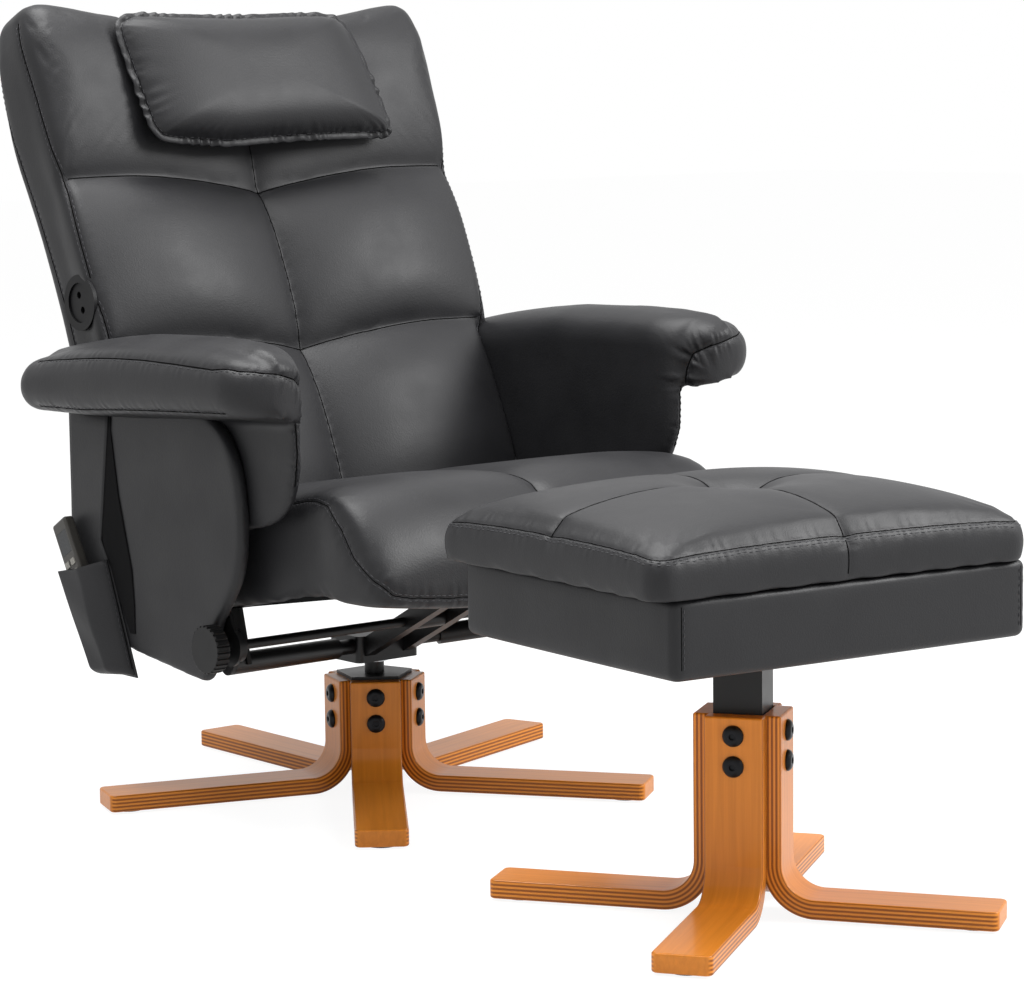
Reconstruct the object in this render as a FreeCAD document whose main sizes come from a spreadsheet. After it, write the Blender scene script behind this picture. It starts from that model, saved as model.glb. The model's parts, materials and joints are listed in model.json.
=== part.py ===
# Massage recliner on a five-leg swivel base, with its footstool on a four-leg base.
# Millimetres, +Z up, chair front towards -Y. Everything is drawn about the swivel column's foot, then moved
# back so that the origin is on the floor in the middle of the whole set.
import FreeCAD, Part
import math
import os
import re
from FreeCAD import Placement, Rotation, Vector

# Driving dimensions, one named value each
SIZES = {
    # how far the swivel column stands behind the middle of the set
    "column_rearward": 327,
    # shared clearances
    "cut_overrun": 5,
    "soft_gap": 0.3,
    "running_gap": 0.05,
    "bolt_gap": 0.2,
    # bent-plywood legs
    "leg_width": 64,
    "leg_thickness": 21,
    "leg_bend_radius": 36,
    "leg_edge_round": 2.5,
    "leg_tip_round": 8,
    "foot_pad_thickness": 3,
    "foot_pad_diameter": 40,
    "foot_pad_inset": 30,
    "chair_leg_reach": 357,
    "chair_leg_top": 145,
    "chair_hub_apothem": 36.8,
    "stool_leg_reach": 279,
    "stool_leg_top": 221,
    "stool_hub_apothem": 27,
    # leg bolts
    "bolt_head_diameter": 23,
    "bolt_head_height": 5.5,
    "bolt_socket_diameter": 7,
    "bolt_socket_depth": 3,
    "bolt_shank_diameter": 8,
    "bolt_tail": 9,
    "bolt_drop": 20,
    "bolt_spacing": 33,
    # hub and swivel column
    "hub_height": 92,
    "hub_cap_thickness": 4,
    "hub_cap_lip": 4,
    "column_diameter": 25,
    "column_spigot_diameter": 20,
    "column_spigot_height": 24,
    "bearing_diameter": 36,
    "bearing_thickness": 4,
    "swivel_box_bottom": 168,
    "swivel_box_width": 96,
    "swivel_box_depth": 64,
    "swivel_box_height": 34,
    "swivel_box_round": 8,
    # recline rod and what holds it
    "pivot_forward": 112,
    "pivot_height": 230,
    "rod_diameter": 12,
    "rod_hole_gap": 0.5,
    "ear_thickness": 6,
    "ear_radius": 20,
    "friction_washer_thickness": 4,
    "friction_washer_diameter": 40,
    "rod_nut_diameter": 26,
    "rod_nut_thickness": 9,
    "pivot_plate_thickness": 4,
    "pivot_plate_radius": 24,
    "pivot_plate_rise": 88,
    "pivot_plate_depth": 96,
    # frame arms and braces
    "frame_arm_diameter": 19,
    "frame_arm_wall": 2.5,
    "frame_arm_root_height": 185,
    "frame_arm_end_forward": 95,
    "frame_arm_end_height": 205,
    "frame_sleeve_diameter": 26,
    "frame_sleeve_start": 82,
    "brace_width": 16,
    "brace_height": 22,
    "brace_spacing": 60,
    "brace_root_height": 189,
    "brace_sleeve_diameter": 22,
    "bracket_thickness": 4,
    "bracket_width": 130,
    "bracket_depth": 90,
    "bracket_forward": 62,
    "side_plate_thickness": 6,
    "side_plate_inset": 262,
    "side_plate_depth": 70,
    "side_plate_foot": 34,
    # seat, in a frame tilted with its pan
    "seat_tilt": 9.46,
    "seat_forward": 200,
    "seat_height": 289,
    "seat_pan_thickness": 14,
    "seat_pan_front": 160,
    "seat_pan_rear": 204,
    "seat_pan_inset": 12,
    "seat_half_width": 276,
    "seat_ear_half_width": 287,
    "seat_front_reach": 190,
    "seat_rear_reach": 212,
    "seat_top": 139,
    "seat_side_drop": 17,
    "seat_side_swell": 4,
    "seat_seam_depth": 9,
    # massage motors
    "motor_diameter": 44,
    "motor_height": 20,
    "motor_gap": 0.6,
    "seat_motor_spread": 130,
    "seat_motor_rearward": 60,
    # side panels
    "side_panel_inner": 300,
    "side_panel_thickness": 16,
    "side_panel_round": 3,
    "side_panel_top": 503,
    "side_panel_rear_top": 491,
    "side_panel_bottom": 187,
    "side_panel_front": 176,
    "side_panel_shoulder": 137,
    "side_panel_waist": 132,
    "side_panel_waist_rise": 43,
    "side_panel_toe": 80,
    "side_panel_heel": 45,
    "side_panel_heel_rise": 25,
    "side_panel_rear": 208,
    # arm webs and pads
    "web_thickness": 20.7,
    "web_round": 7,
    "web_front": 254,
    "web_top": 575,
    "web_front_bottom": 440,
    "web_toe_radius": 47,
    "web_bottom_slope": 11.7,
    "web_top_corner": 30,
    "web_heel_back": 80,
    "web_rear": 190,
    "web_rear_rise": 10,
    "web_notch_back": 85,
    "pad_bottom": 506,
    "pad_height": 92,
    "pad_width": 100,
    "pad_front": 293,
    "pad_rear": 195,
    "pad_outer_swell": 26,
    "pad_shoulder_drop": 13,
    "pad_end_drop": 12,
    # backrest, in a frame tilted with it
    "back_tilt": 24,
    "back_rearward": 77,
    "back_height": 390,
    "back_bottom": 55,
    "back_lower_seam": 179,
    "back_upper_seam": 404,
    "back_top": 645,
    "back_lower_half_width": 279,
    "back_middle_half_width": 298.5,
    "back_upper_half_width": 304,
    "back_horn_half_width": 318,
    "back_top_half_width": 292,
    "back_split": 8,
    "back_side_front": 16,
    "back_edge_round": 24,
    "back_front": 24,
    "back_panel_crown": 26,
    "back_edge_crown": 14,
    "back_horn_crown": 32,
    "back_seam_front": 4,
    "back_seam_crown": 14,
    "back_top_dip": 14,
    "back_top_dip_width": 500,
    "shell_rear": 68,
    "shell_top_rear": 26,
    "shell_corner": 22,
    "board_thickness": 12,
    "board_half_width": 262,
    "board_bottom": 35,
    "board_top": 588,
    "back_motor_spread": 130,
    "back_motor_low": 90,
    "back_motor_high": 292,
    "controller_width": 130,
    "controller_height": 90,
    "controller_depth": 22,
    "controller_up": 60,
    # power socket on the right side of the back
    "socket_clearance": 5.5,
    "socket_rearward": 7,
    "socket_diameter": 70,
    "socket_rim": 5,
    "socket_core_diameter": 50,
    "socket_core_depth": 20,
    "jack_diameter": 9,
    "jack_depth": 10,
    "jack_spacing": 20,
    # head pillow and its flap
    "pillow_half_width": 190,
    "pillow_half_height": 86,
    "pillow_up": 530,
    "pillow_rear": 55.6,
    "pillow_thickness": 44,
    "pillow_corner": 26,
    "pillow_draw": 4,
    "flap_half_width": 120,
    "flap_thickness": 2.5,
    "flap_fold": 44,
    "flap_front": 62,
    "flap_drop": 15,
    "flap_rear": 14,
    # hanging pocket on the right side
    "pocket_sheet": 2.2,
    "pocket_top": 490,
    "pocket_strap_front": 119,
    "pocket_strap_rear": 203,
    "pocket_mouth_front": 105,
    "pocket_mouth_rear": 203,
    "pocket_mouth_front_height": 318,
    "pocket_mouth_rear_height": 293,
    "pocket_foot_front": 71,
    "pocket_foot_rear": 132,
    "pocket_foot_height": 178,
    "pocket_depth": 28,
    # remote control
    "remote_tilt": 30,
    "remote_length": 192,
    "remote_width": 34,
    "remote_thickness": 15,
    "remote_wall": 2,
    "remote_round": 4,
    "remote_rearward": 156.7,
    "remote_height": 270.7,
    "remote_board_thickness": 1.6,
    "window_length": 30,
    "window_width": 22,
    "window_up": 66,
    "button_length": 8,
    "button_width": 9,
    "button_height": 3.8,
    "button_gap": 0.25,
    "button_proud": 1.2,
    "button_up": 38,
    "button_pitch": 14,
    "button_spread": 14,
    "button_flange": 1.2,
    "button_flange_lip": 1,
    # recline knob
    "knob_diameter": 58,
    "knob_thickness": 18,
    "knob_lobe_diameter": 4,
    "knob_stand_off": 1,
    # footstool
    "stool_sideways": -88,
    "stool_forward": 774,
    "stool_angle": -5.47,
    "stool_leg_angle": 39,
    "stool_post_wall": 3,
    "stool_post_bottom": 118,
    "stool_plate_side": 160,
    "stool_plate_thickness": 4,
    "stool_box_bottom": 305,
    "stool_box_height": 79,
    "stool_box_half_width": 227.5,
    "stool_box_half_depth": 185.5,
    "stool_wall": 18,
    "stool_floor_thickness": 12,
    "lid_shift": -15,
    "lid_half_width": 242,
    "lid_half_depth": 196,
    "lid_height": 82,
    "lid_corner": 24,
    "lid_draw": 4,
    "lid_board_thickness": 12,
    "lid_board_inset": 32,
    "lid_seam_depth": 7,
    "lid_seam_width": 14,
    "lid_tuft_depth": 20,
    "lid_tuft_diameter": 70,
}
CHAIR_LEGS = 5
STOOL_LEGS = 4
KNOB_LOBES = 24

doc = FreeCAD.newDocument("massage_recliner")
sheet = doc.addObject("Spreadsheet::Sheet", "Sizes")
for row, (alias, number) in enumerate(SIZES.items(), start=1):
    sheet.set(f"A{row}", alias)
    sheet.set(f"B{row}", str(number))
    sheet.setAlias(f"B{row}", alias)
doc.recompute()

X_AXIS = Vector(1, 0, 0)
Y_AXIS = Vector(0, 1, 0)
Z_AXIS = Vector(0, 0, 1)
pieces = []


def size(alias):
    """The sheet's value for one alias."""
    return float(sheet.get(alias))


def bind(item, **formulas):
    """Ties properties of a document object to formulas of the sheet's aliases."""
    for prop, text in formulas.items():
        item.setExpression(prop, re.sub(r"\b[a-z]+(?:_[a-z]+)+\b", r"Sizes.\g<0>", text))


def piece(item, label):
    """Names a finished sub-part and keeps it for export."""
    item.Label = label
    pieces.append(item)
    return item


def at(x, y, z, axis=Z_AXIS, angle=0):
    """A placement from a point and a turn about an axis."""
    return Placement(Vector(x, y, z), Rotation(axis, angle))


def aimed(start, end):
    """A placement at start whose Z axis points at end."""
    return Placement(start, Rotation(Z_AXIS, end - start))


LYING = Rotation(Y_AXIS, 90)
SEAT = at(0, -size("seat_forward"), size("seat_height"), X_AXIS, -size("seat_tilt"))
BACK = at(0, size("back_rearward"), size("back_height"), X_AXIS, -size("back_tilt"))
STOOL = at(size("stool_sideways"), -size("stool_forward"), 0, Z_AXIS, size("stool_angle"))
PIVOT = Vector(0, -size("pivot_forward"), size("pivot_height"))
SIDES = (-1, 1)


def cylinder(name, diameter, height, place=Placement()):
    """A round bar along its placement's Z axis."""
    item = doc.addObject("Part::Cylinder", name)
    bind(item, Radius=f"({diameter}) / 2", Height=height)
    item.Placement = place
    return item


def block(name, length, width, height, place=Placement()):
    """A box from its placement's corner."""
    item = doc.addObject("Part::Box", name)
    bind(item, Length=length, Width=width, Height=height)
    item.Placement = place
    return item


def fused(name, *items):
    """One piece welded from several."""
    item = doc.addObject("Part::MultiFuse", name)
    item.Shapes = list(items)
    item.Refine = True
    return item


def cut(name, base, *tools):
    """A piece with tools cut out of it."""
    item = doc.addObject("Part::Cut", name)
    item.Base = base
    item.Tool = tools[0] if len(tools) == 1 else fused(name + "_tools", *tools)
    return item


def mirrored(name, source):
    """The same piece on the other side of the chair."""
    item = doc.addObject("Part::Mirroring", name)
    item.Source = source
    item.Normal = X_AXIS
    return item


def shaped(name, shape, place=Placement()):
    """A piece whose form is set directly."""
    item = doc.addObject("Part::Feature", name)
    item.Shape = shape
    item.Placement = place
    return item


def outline(start, *steps):
    """Closed run of lines and arcs; a (via, end) step is an arc."""
    edges = []
    here = start
    for step in steps:
        if isinstance(step, tuple):
            edges.append(Part.Arc(here, step[0], step[1]))
            here = step[1]
        else:
            edges.append(Part.LineSegment(here, step))
            here = step
    if not here.isEqual(start, size("running_gap")):
        edges.append(Part.LineSegment(here, start))
    return edges


def loft(sections):
    """A smooth solid through closed outlines; the low degree keeps it from swinging past them."""
    wires = [Part.Wire([edge.toShape() for edge in section]) for section in sections]
    degree = 2
    return Part.makeLoft(wires, True, False, False, degree)


def sketch_on(body, role, geometry):
    """A sketch on one of the body's own origin planes."""
    sketch = body.newObject("Sketcher::SketchObject", body.Name + "_outline")
    plane = next(item for item in body.Origin.OriginFeatures if item.Role == role)
    sketch.AttachmentSupport = [(plane, "")]
    sketch.MapMode = "FlatFace"
    sketch.addGeometry(geometry, False)
    return sketch


def padded(name, role, geometry, thickness, symmetric=False):
    """A body padded from one outline."""
    body = doc.addObject("PartDesign::Body", name)
    feature = body.newObject("PartDesign::Pad", name + "_pad")
    feature.Profile = sketch_on(body, role, geometry)
    bind(feature, Length=thickness)
    if symmetric:
        feature.SideType = "Symmetric"
    body.Tip = feature
    doc.recompute()
    return body


def rounded(body, radius, chosen):
    """Rounds the chosen edges of a body's last feature."""
    base = body.Tip
    names = [f"Edge{n}" for n, edge in enumerate(base.Shape.Edges, start=1) if chosen(edge)]
    feature = body.newObject("PartDesign::Fillet", body.Name + "_round")
    feature.Base = (base, names)
    bind(feature, Radius=radius)
    body.Tip = feature
    doc.recompute()
    return body


def is_along(edge, axis):
    """Whether an edge is a straight line along an axis."""
    if not isinstance(edge.Curve, Part.Line):
        return False
    return abs(edge.Curve.Direction.dot(axis)) > math.cos(math.radians(1))


def copies(shape, placements):
    """Separate copies of one shape."""
    made = []
    for place in placements:
        copy = shape.copy()
        copy.Placement = place.multiply(copy.Placement)
        made.append(copy)
    return Part.makeCompound(made)


def ring(inner, outer, height):
    """A washer's shape along Z."""
    return Part.makeCylinder(outer, height).cut(Part.makeCylinder(inner, height))


def leg_turns(count, first):
    """Directions of a base's legs, in degrees from +X."""
    return [first + 360 / count * step for step in range(count)]


def bent_leg(name, kind, count):
    """One bent-plywood leg along +X, mitred where its neighbours meet it."""
    inner = size(kind + "_hub_apothem")
    outer = inner + size("leg_thickness")
    bend = size("leg_bend_radius")
    low = size("foot_pad_thickness")
    floor = low + size("leg_thickness")
    reach = size(kind + "_leg_reach")
    top = size(kind + "_leg_top")
    centre = Vector(outer + bend, floor + bend, 0)
    diagonal = Vector(-math.sqrt(0.5), -math.sqrt(0.5), 0)
    profile = outline(
        Vector(inner, top, 0),
        Vector(outer, top, 0),
        Vector(outer, floor + bend, 0),
        (centre + diagonal * bend, Vector(outer + bend, floor, 0)),
        Vector(reach, floor, 0),
        Vector(reach, low, 0),
        Vector(outer + bend, low, 0),
        (centre + diagonal * (bend + size("leg_thickness")), Vector(inner, floor + bend, 0)),
    )
    body = padded(name + "_board", "XZ_Plane", profile, "leg_width", symmetric=True)
    rounded(body, "leg_tip_round", lambda edge: is_along(edge, Z_AXIS) and edge.CenterOfMass.x > reach - bend)
    rounded(body, "leg_edge_round", lambda edge: abs(edge.CenterOfMass.y) < size("leg_width"))
    half = size("leg_width") / 2 + size("cut_overrun")
    slope = math.tan(math.pi / count)
    start = inner - size("cut_overrun")
    gap = size("soft_gap")
    tools = []
    for side in SIDES:
        wedge = outline(
            Vector(start, side * (start * slope - gap), 0),
            Vector((half + gap) / slope, side * half, 0),
            Vector(start, side * half, 0),
        )
        mitre = padded(f"{name}_mitre", "XY_Plane", wedge, kind + "_leg_top + cut_overrun")
        tools.append(mitre)
    for drop in (size("bolt_drop"), size("bolt_drop") + size("bolt_spacing")):
        place = Placement(Vector(start, 0, top - drop), LYING)
        through = "leg_thickness + 2 * cut_overrun"
        hole = cylinder(name + "_hole", "bolt_shank_diameter + 2 * bolt_gap", through, place)
        tools.append(hole)
    return cut(name, body, *tools)


def bolt_shape(kind):
    """A button-head bolt along +X, seated on a leg's outer face."""
    seat = size(kind + "_hub_apothem") + size("leg_thickness")
    tail = size(kind + "_hub_apothem") - size("bolt_tail")
    shank = size("bolt_shank_diameter") / 2
    head = size("bolt_head_diameter") / 2
    top = seat + size("bolt_head_height")
    socket = size("bolt_socket_diameter") / 2
    rim_share = 0.3
    dome_share = 0.82
    profile = outline(
        Vector(tail, 0, 0),
        Vector(tail, 0, shank),
        Vector(seat, 0, shank),
        Vector(seat, 0, head),
        Vector(seat + rim_share * size("bolt_head_height"), 0, head),
        (
            Vector(seat + dome_share * size("bolt_head_height"), 0, head / 2 + socket),
            Vector(top, 0, socket),
        ),
        Vector(top - size("bolt_socket_depth"), 0, socket),
        Vector(top - size("bolt_socket_depth"), 0, 0),
    )
    face = Part.Face(Part.Wire([edge.toShape() for edge in profile]))
    return face.revolve(Vector(0, 0, 0), X_AXIS, 360)


def bolt_places(kind, count, first, frame):
    """Where a base's bolts sit: two on each leg."""
    top = size(kind + "_leg_top")
    heights = (top - size("bolt_drop"), top - size("bolt_drop") - size("bolt_spacing"))
    return [frame.multiply(at(0, 0, z, Z_AXIS, turn)) for turn in leg_turns(count, first) for z in heights]


def base_legs(kind, count, first, frame):
    """The legs, bolts and foot pads of one base."""
    for number, turn in enumerate(leg_turns(count, first), start=1):
        leg = bent_leg(f"{kind}_leg_{number}", kind, count)
        leg.Placement = frame.multiply(at(0, 0, 0, Z_AXIS, turn))
        piece(leg, f"{kind}_leg_{number}")
    bolts = copies(bolt_shape(kind), bolt_places(kind, count, first, frame))
    piece(shaped(kind + "_leg_bolts", bolts), kind + "_leg_bolts")
    pad = Part.makeCylinder(size("foot_pad_diameter") / 2, size("foot_pad_thickness"))
    reach = size(kind + "_leg_reach") - size("foot_pad_inset")
    turned = [frame.multiply(at(0, 0, 0, Z_AXIS, turn)) for turn in leg_turns(count, first)]
    spots = [place.multiply(at(reach, 0, 0)) for place in turned]
    piece(shaped(kind + "_foot_pads", copies(pad, spots)), kind + "_foot_pads")


def prism(name, sides, apothem, height, place):
    """A regular prism whose first flat faces its placement's +X."""
    item = doc.addObject("Part::Prism", name)
    item.Polygon = sides
    bind(item, Circumradius=f"({apothem}) / cos(180 deg / {sides})", Height=height)
    item.Placement = place.multiply(at(0, 0, 0, Z_AXIS, 180 / sides))
    return item


def bolt_holes(name, kind, count, first, frame):
    """Holes that a base's bolts pass through on their way into its hub."""
    start = size(kind + "_hub_apothem") - size("bolt_tail") - size("cut_overrun")
    holes = []
    for place in bolt_places(kind, count, first, frame):
        lying = place.multiply(Placement(Vector(start, 0, 0), LYING))
        hole = cylinder(name, "bolt_shank_diameter + 2 * bolt_gap", "bolt_tail + 2 * cut_overrun", lying)
        holes.append(hole)
    return holes


def chair_base():
    """Five legs, their hub, and the column that the chair turns on."""
    first = 90
    base_legs("chair", CHAIR_LEGS, first, Placement())
    top = size("chair_leg_top")
    turned = at(0, 0, top - size("hub_height"), Z_AXIS, first)
    core = prism("hub_core", CHAIR_LEGS, "chair_hub_apothem - soft_gap", "hub_height", turned)
    cap_place = at(0, 0, top, Z_AXIS, first)
    cap = prism("hub_cap", CHAIR_LEGS, "chair_hub_apothem + hub_cap_lip", "hub_cap_thickness", cap_place)
    bore_place = at(0, 0, top - size("hub_height") - size("cut_overrun"))
    bore_height = "hub_height + 3 * cut_overrun"
    bore = cylinder("hub_bore", "column_diameter + 2 * running_gap", bore_height, bore_place)
    holes = bolt_holes("hub_hole", "chair", CHAIR_LEGS, first, Placement())
    piece(cut("base_hub", fused("hub_block", core, cap), bore, *holes), "base_hub")
    low = top - size("hub_height")
    shoulder = size("swivel_box_bottom") - size("bearing_thickness") - size("running_gap")
    post = cylinder("column_post", "column_diameter", "1", at(0, 0, low))
    bind(post, Height="swivel_box_bottom - bearing_thickness - running_gap - chair_leg_top + hub_height")
    spigot = cylinder("column_spigot", "column_spigot_diameter", "column_spigot_height", at(0, 0, shoulder))
    piece(fused("swivel_column", post, spigot), "swivel_column")
    disc = cylinder("bearing_disc", "bearing_diameter", "bearing_thickness", at(0, 0, shoulder))
    eye_width = "column_spigot_diameter + 2 * running_gap"
    eye = cylinder("bearing_eye", eye_width, "bearing_thickness", at(0, 0, shoulder))
    piece(cut("swivel_bearing", disc, eye), "swivel_bearing")


def swivel_box():
    """The welded box that turns on the column's spigot."""
    half_width = size("swivel_box_width") / 2
    half_depth = size("swivel_box_depth") / 2
    profile = outline(
        Vector(-half_width, -half_depth, 0),
        Vector(half_width, -half_depth, 0),
        Vector(half_width, half_depth, 0),
        Vector(-half_width, half_depth, 0),
    )
    body = padded("swivel_block", "XY_Plane", profile, "swivel_box_height")
    rounded(body, "swivel_box_round", lambda edge: is_along(edge, Z_AXIS))
    body.Placement = at(0, 0, size("swivel_box_bottom"))
    low = size("swivel_box_bottom") - size("cut_overrun")
    bore = cylinder("swivel_bore", "column_spigot_diameter + 2 * running_gap", "1", at(0, 0, low))
    bind(bore, Height="column_spigot_height + cut_overrun")
    return piece(cut("swivel_box", body, bore), "swivel_box")


def ear_inner():
    """How far out the inner faces of the rod's ears stand."""
    outer = size("side_panel_inner") - size("pivot_plate_thickness")
    return outer - size("friction_washer_thickness") - size("ear_thickness")


def arm_line(side):
    """The two ends of one frame arm's centre line."""
    root = Vector(0, 0, size("frame_arm_root_height"))
    end = Vector(side * ear_inner(), -size("frame_arm_end_forward"), size("frame_arm_end_height"))
    return root, end


def arm_point(side, reach):
    """The point of a frame arm's centre line at one distance from the middle."""
    root, end = arm_line(side)
    return root + (end - root) * (reach / ear_inner())


def pipe(start, end, inner, outer):
    """A straight tube between two points."""
    tube = ring(inner, outer, (end - start).Length)
    tube.Placement = aimed(start, end)
    return tube


def frame_arms(box):
    """The two arms from the swivel box to the rod's ears, with their sleeves."""
    outer = size("frame_arm_diameter") / 2
    inner = outer - size("frame_arm_wall")
    sleeve = size("frame_sleeve_diameter") / 2
    made = []
    for side in SIDES:
        root, end = arm_line(side)
        past = end + (end - root).normalize() * size("frame_sleeve_diameter")
        limit = Part.makeBox(ear_inner(), size("chair_leg_reach"), size("chair_leg_reach"))
        limit.translate(Vector(0 if side > 0 else -ear_inner(), -size("chair_leg_reach") / 2, 0))
        made.append(pipe(root, past, inner, outer).common(limit).cut(box.Shape))
        start = arm_point(side, size("frame_sleeve_start"))
        made.append(pipe(start, past, outer + size("running_gap"), sleeve).common(limit))
    largest = [max(shape.Solids, key=lambda solid: solid.Volume) for shape in made]
    piece(shaped("frame_arms", Part.makeCompound(largest)), "frame_arms")


def rod_hole(radius, start, length):
    """A hole for the recline rod along X."""
    hole = Part.makeCylinder(radius, length)
    hole.Placement = Placement(PIVOT + Vector(start, 0, 0), LYING)
    return hole


def rod_ears():
    """The plates on the frame arms' ends that hold the recline rod."""
    thick = size("ear_thickness")
    near = ear_inner()
    radius = size("rod_diameter") / 2 + size("running_gap")
    made = []
    for side in SIDES:
        start = near if side > 0 else -near - thick
        _, end = arm_line(side)
        boss = Part.makeCylinder(size("ear_radius"), thick)
        boss.Placement = Placement(PIVOT + Vector(start, 0, 0), LYING)
        foot = Part.makeCylinder(size("frame_sleeve_diameter") / 2, thick)
        foot.Placement = Placement(Vector(start, end.y, end.z), LYING)
        across = (Vector(0, PIVOT.y, PIVOT.z) - Vector(0, end.y, end.z)).normalize()
        sideways = Vector(0, -across.z, across.y) * (size("frame_sleeve_diameter") / 2)
        base = Vector(start, end.y, end.z)
        tip = PIVOT + Vector(start, 0, 0)
        rim = [base + sideways, tip + sideways, tip - sideways, base - sideways]
        neck = Part.Face(Part.makePolygon(rim + rim[:1])).extrude(X_AXIS * thick)
        plate = boss.fuse([foot, neck]).removeSplitter()
        made.append(plate.cut(rod_hole(radius, start - thick, 3 * thick)))
    piece(shaped("rod_ears", Part.makeCompound(made)), "rod_ears")


def side_outer():
    """How far out the side panels' outer faces stand."""
    return size("side_panel_inner") + size("side_panel_thickness")


def recline_rod():
    """The rod across the chair, its friction washers and the nut on its left end."""
    right = side_outer() + size("knob_stand_off") + size("knob_thickness") / 2
    left = side_outer() + size("knob_stand_off") + size("rod_nut_thickness")
    rod = cylinder("recline_rod", "rod_diameter", "1", Placement(PIVOT - X_AXIS * right, LYING))
    half = "side_panel_inner + side_panel_thickness + knob_stand_off"
    bind(rod, Height=f"2 * ({half}) + knob_thickness / 2 + rod_nut_thickness")
    piece(rod, "recline_rod")
    hole = size("rod_diameter") / 2 + size("running_gap")
    washer = ring(hole, size("friction_washer_diameter") / 2, size("friction_washer_thickness"))
    start = ear_inner() + size("ear_thickness")
    spots = [start, -start - size("friction_washer_thickness")]
    washers = copies(washer, [Placement(PIVOT + X_AXIS * spot, LYING) for spot in spots])
    tip = X_AXIS * (size("rod_nut_diameter") / 2)
    rim = [Rotation(Z_AXIS, turn).multVec(tip) for turn in range(0, 360, 60)]
    nut = Part.Face(Part.makePolygon(rim + rim[:1])).extrude(Z_AXIS * size("rod_nut_thickness"))
    nut = nut.cut(Part.makeCylinder(hole, size("rod_nut_thickness")))
    nut.Placement = Placement(PIVOT + X_AXIS * (left - size("rod_nut_thickness")), LYING)
    hardware = Part.makeCompound(washers.Solids + [nut])
    piece(shaped("rod_hardware", hardware), "rod_hardware")


def under_seat(y):
    """The height of the seat pan's underside over one line across the chair."""
    return size("seat_height") - (y + size("seat_forward")) * math.tan(math.radians(size("seat_tilt")))


def front_braces(box):
    """The two braces from the swivel box through the rod to the seat, their sleeve and bracket."""
    root = Vector(0, -size("swivel_box_depth") / 2, size("brace_root_height"))
    along = (PIVOT - root).normalize()
    reach = size("seat_forward") + size("bracket_depth")
    past = root + along * reach
    back = root - along * size("swivel_box_depth")
    hole = size("rod_diameter") / 2 + size("running_gap")
    ceiling = Part.makeBox(size("bracket_width"), 2 * reach, reach)
    ceiling.translate(Vector(-size("bracket_width") / 2, -reach, -size("bracket_thickness")))
    ceiling.Placement = SEAT.multiply(ceiling.Placement)
    made = []
    for side in SIDES:
        bar = Part.makeBox(size("brace_height"), size("brace_width"), (past - back).Length)
        bar.translate(Vector(-size("brace_height") / 2, -size("brace_width") / 2, 0))
        lean = math.degrees(math.atan2(-along.y, along.z))
        turn = Rotation(X_AXIS, lean).multiply(Rotation(Z_AXIS, 90))
        start = Placement(back + X_AXIS * (side * size("brace_spacing") / 2), turn)
        bar.Placement = start.multiply(bar.Placement)
        start = side * size("brace_spacing") / 2 - size("brace_width")
        bar = bar.cut([box.Shape, ceiling, rod_hole(hole, start, 2 * size("brace_width"))])
        made.append(min(bar.Solids, key=lambda solid: solid.CenterOfMass.y))
    gap = size("brace_spacing") - size("brace_width")
    sleeve = ring(hole, size("brace_sleeve_diameter") / 2, gap)
    sleeve.Placement = Placement(PIVOT - X_AXIS * (gap / 2), LYING)
    plate = Part.makeBox(size("bracket_width"), size("bracket_depth"), size("bracket_thickness"))
    low = Vector(-size("bracket_width") / 2, -size("bracket_forward") - size("bracket_depth") / 2, 0)
    plate.translate(low - Z_AXIS * size("bracket_thickness"))
    plate.Placement = SEAT.multiply(plate.Placement)
    piece(shaped("front_braces", Part.makeCompound(made + [sleeve, plate])), "front_braces")


def seat_side_plates():
    """Plates that stand on the frame arms' outer ends and carry the rear of the seat pan."""
    made = []
    thick = size("side_plate_thickness")
    for side in SIDES:
        start = size("side_plate_inset") if side > 0 else -size("side_plate_inset") - thick
        foot = arm_point(side, size("side_plate_inset") + thick / 2)
        half = size("side_plate_foot") / 2
        front = foot.y - half
        rear = foot.y - half + size("side_plate_depth")
        rim = [
            Vector(start, front, foot.z),
            Vector(start, foot.y + half, foot.z),
            Vector(start, rear, under_seat(rear)),
            Vector(start, front + half, under_seat(front + half)),
        ]
        plate = Part.Face(Part.makePolygon(rim + rim[:1])).extrude(X_AXIS * thick)
        root, end = arm_line(side)
        sleeve = pipe(root, end, size("running_gap"), size("frame_sleeve_diameter") / 2 + size("running_gap"))
        plate = plate.cut(sleeve)
        made.append(max(plate.Solids, key=lambda solid: solid.CenterOfMass.z))
    piece(shaped("seat_side_plates", Part.makeCompound(made)), "seat_side_plates")


def motor_places(frame, spread, offsets, lift):
    """Where pairs of massage motors stand, each along its placement's Z axis."""
    return [frame.multiply(lift(side * spread, offset)) for offset in offsets for side in SIDES]


def motors_and_pockets(places):
    """A group of motor cans, and the pockets that a cushion needs for them."""
    radius = size("motor_diameter") / 2
    gap = size("motor_gap")
    can = Part.makeCylinder(radius, size("motor_height"))
    pocket = Part.makeCylinder(radius + gap, size("motor_height") + gap + size("cut_overrun"))
    pocket.translate(Z_AXIS * -size("cut_overrun"))
    return copies(can, places), copies(pocket, places).Solids


def seat_section(rearward, half, top):
    """One cross-section of the seat cushion, with its centre seam."""
    low = size("seat_pan_thickness") + size("soft_gap")
    side = top - min(size("seat_side_drop"), (top - low) / 2)
    swell = size("seat_side_swell")
    return outline(
        Vector(-half, rearward, low),
        Vector(half, rearward, low),
        (Vector(half + swell, rearward, (low + side) / 2), Vector(half, rearward, side)),
        (Vector(half / 2, rearward, top), Vector(0, rearward, top - size("seat_seam_depth"))),
        (Vector(-half / 2, rearward, top), Vector(-half, rearward, side)),
        (Vector(-half - swell, rearward, (low + side) / 2), Vector(-half, rearward, low)),
    )


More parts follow.
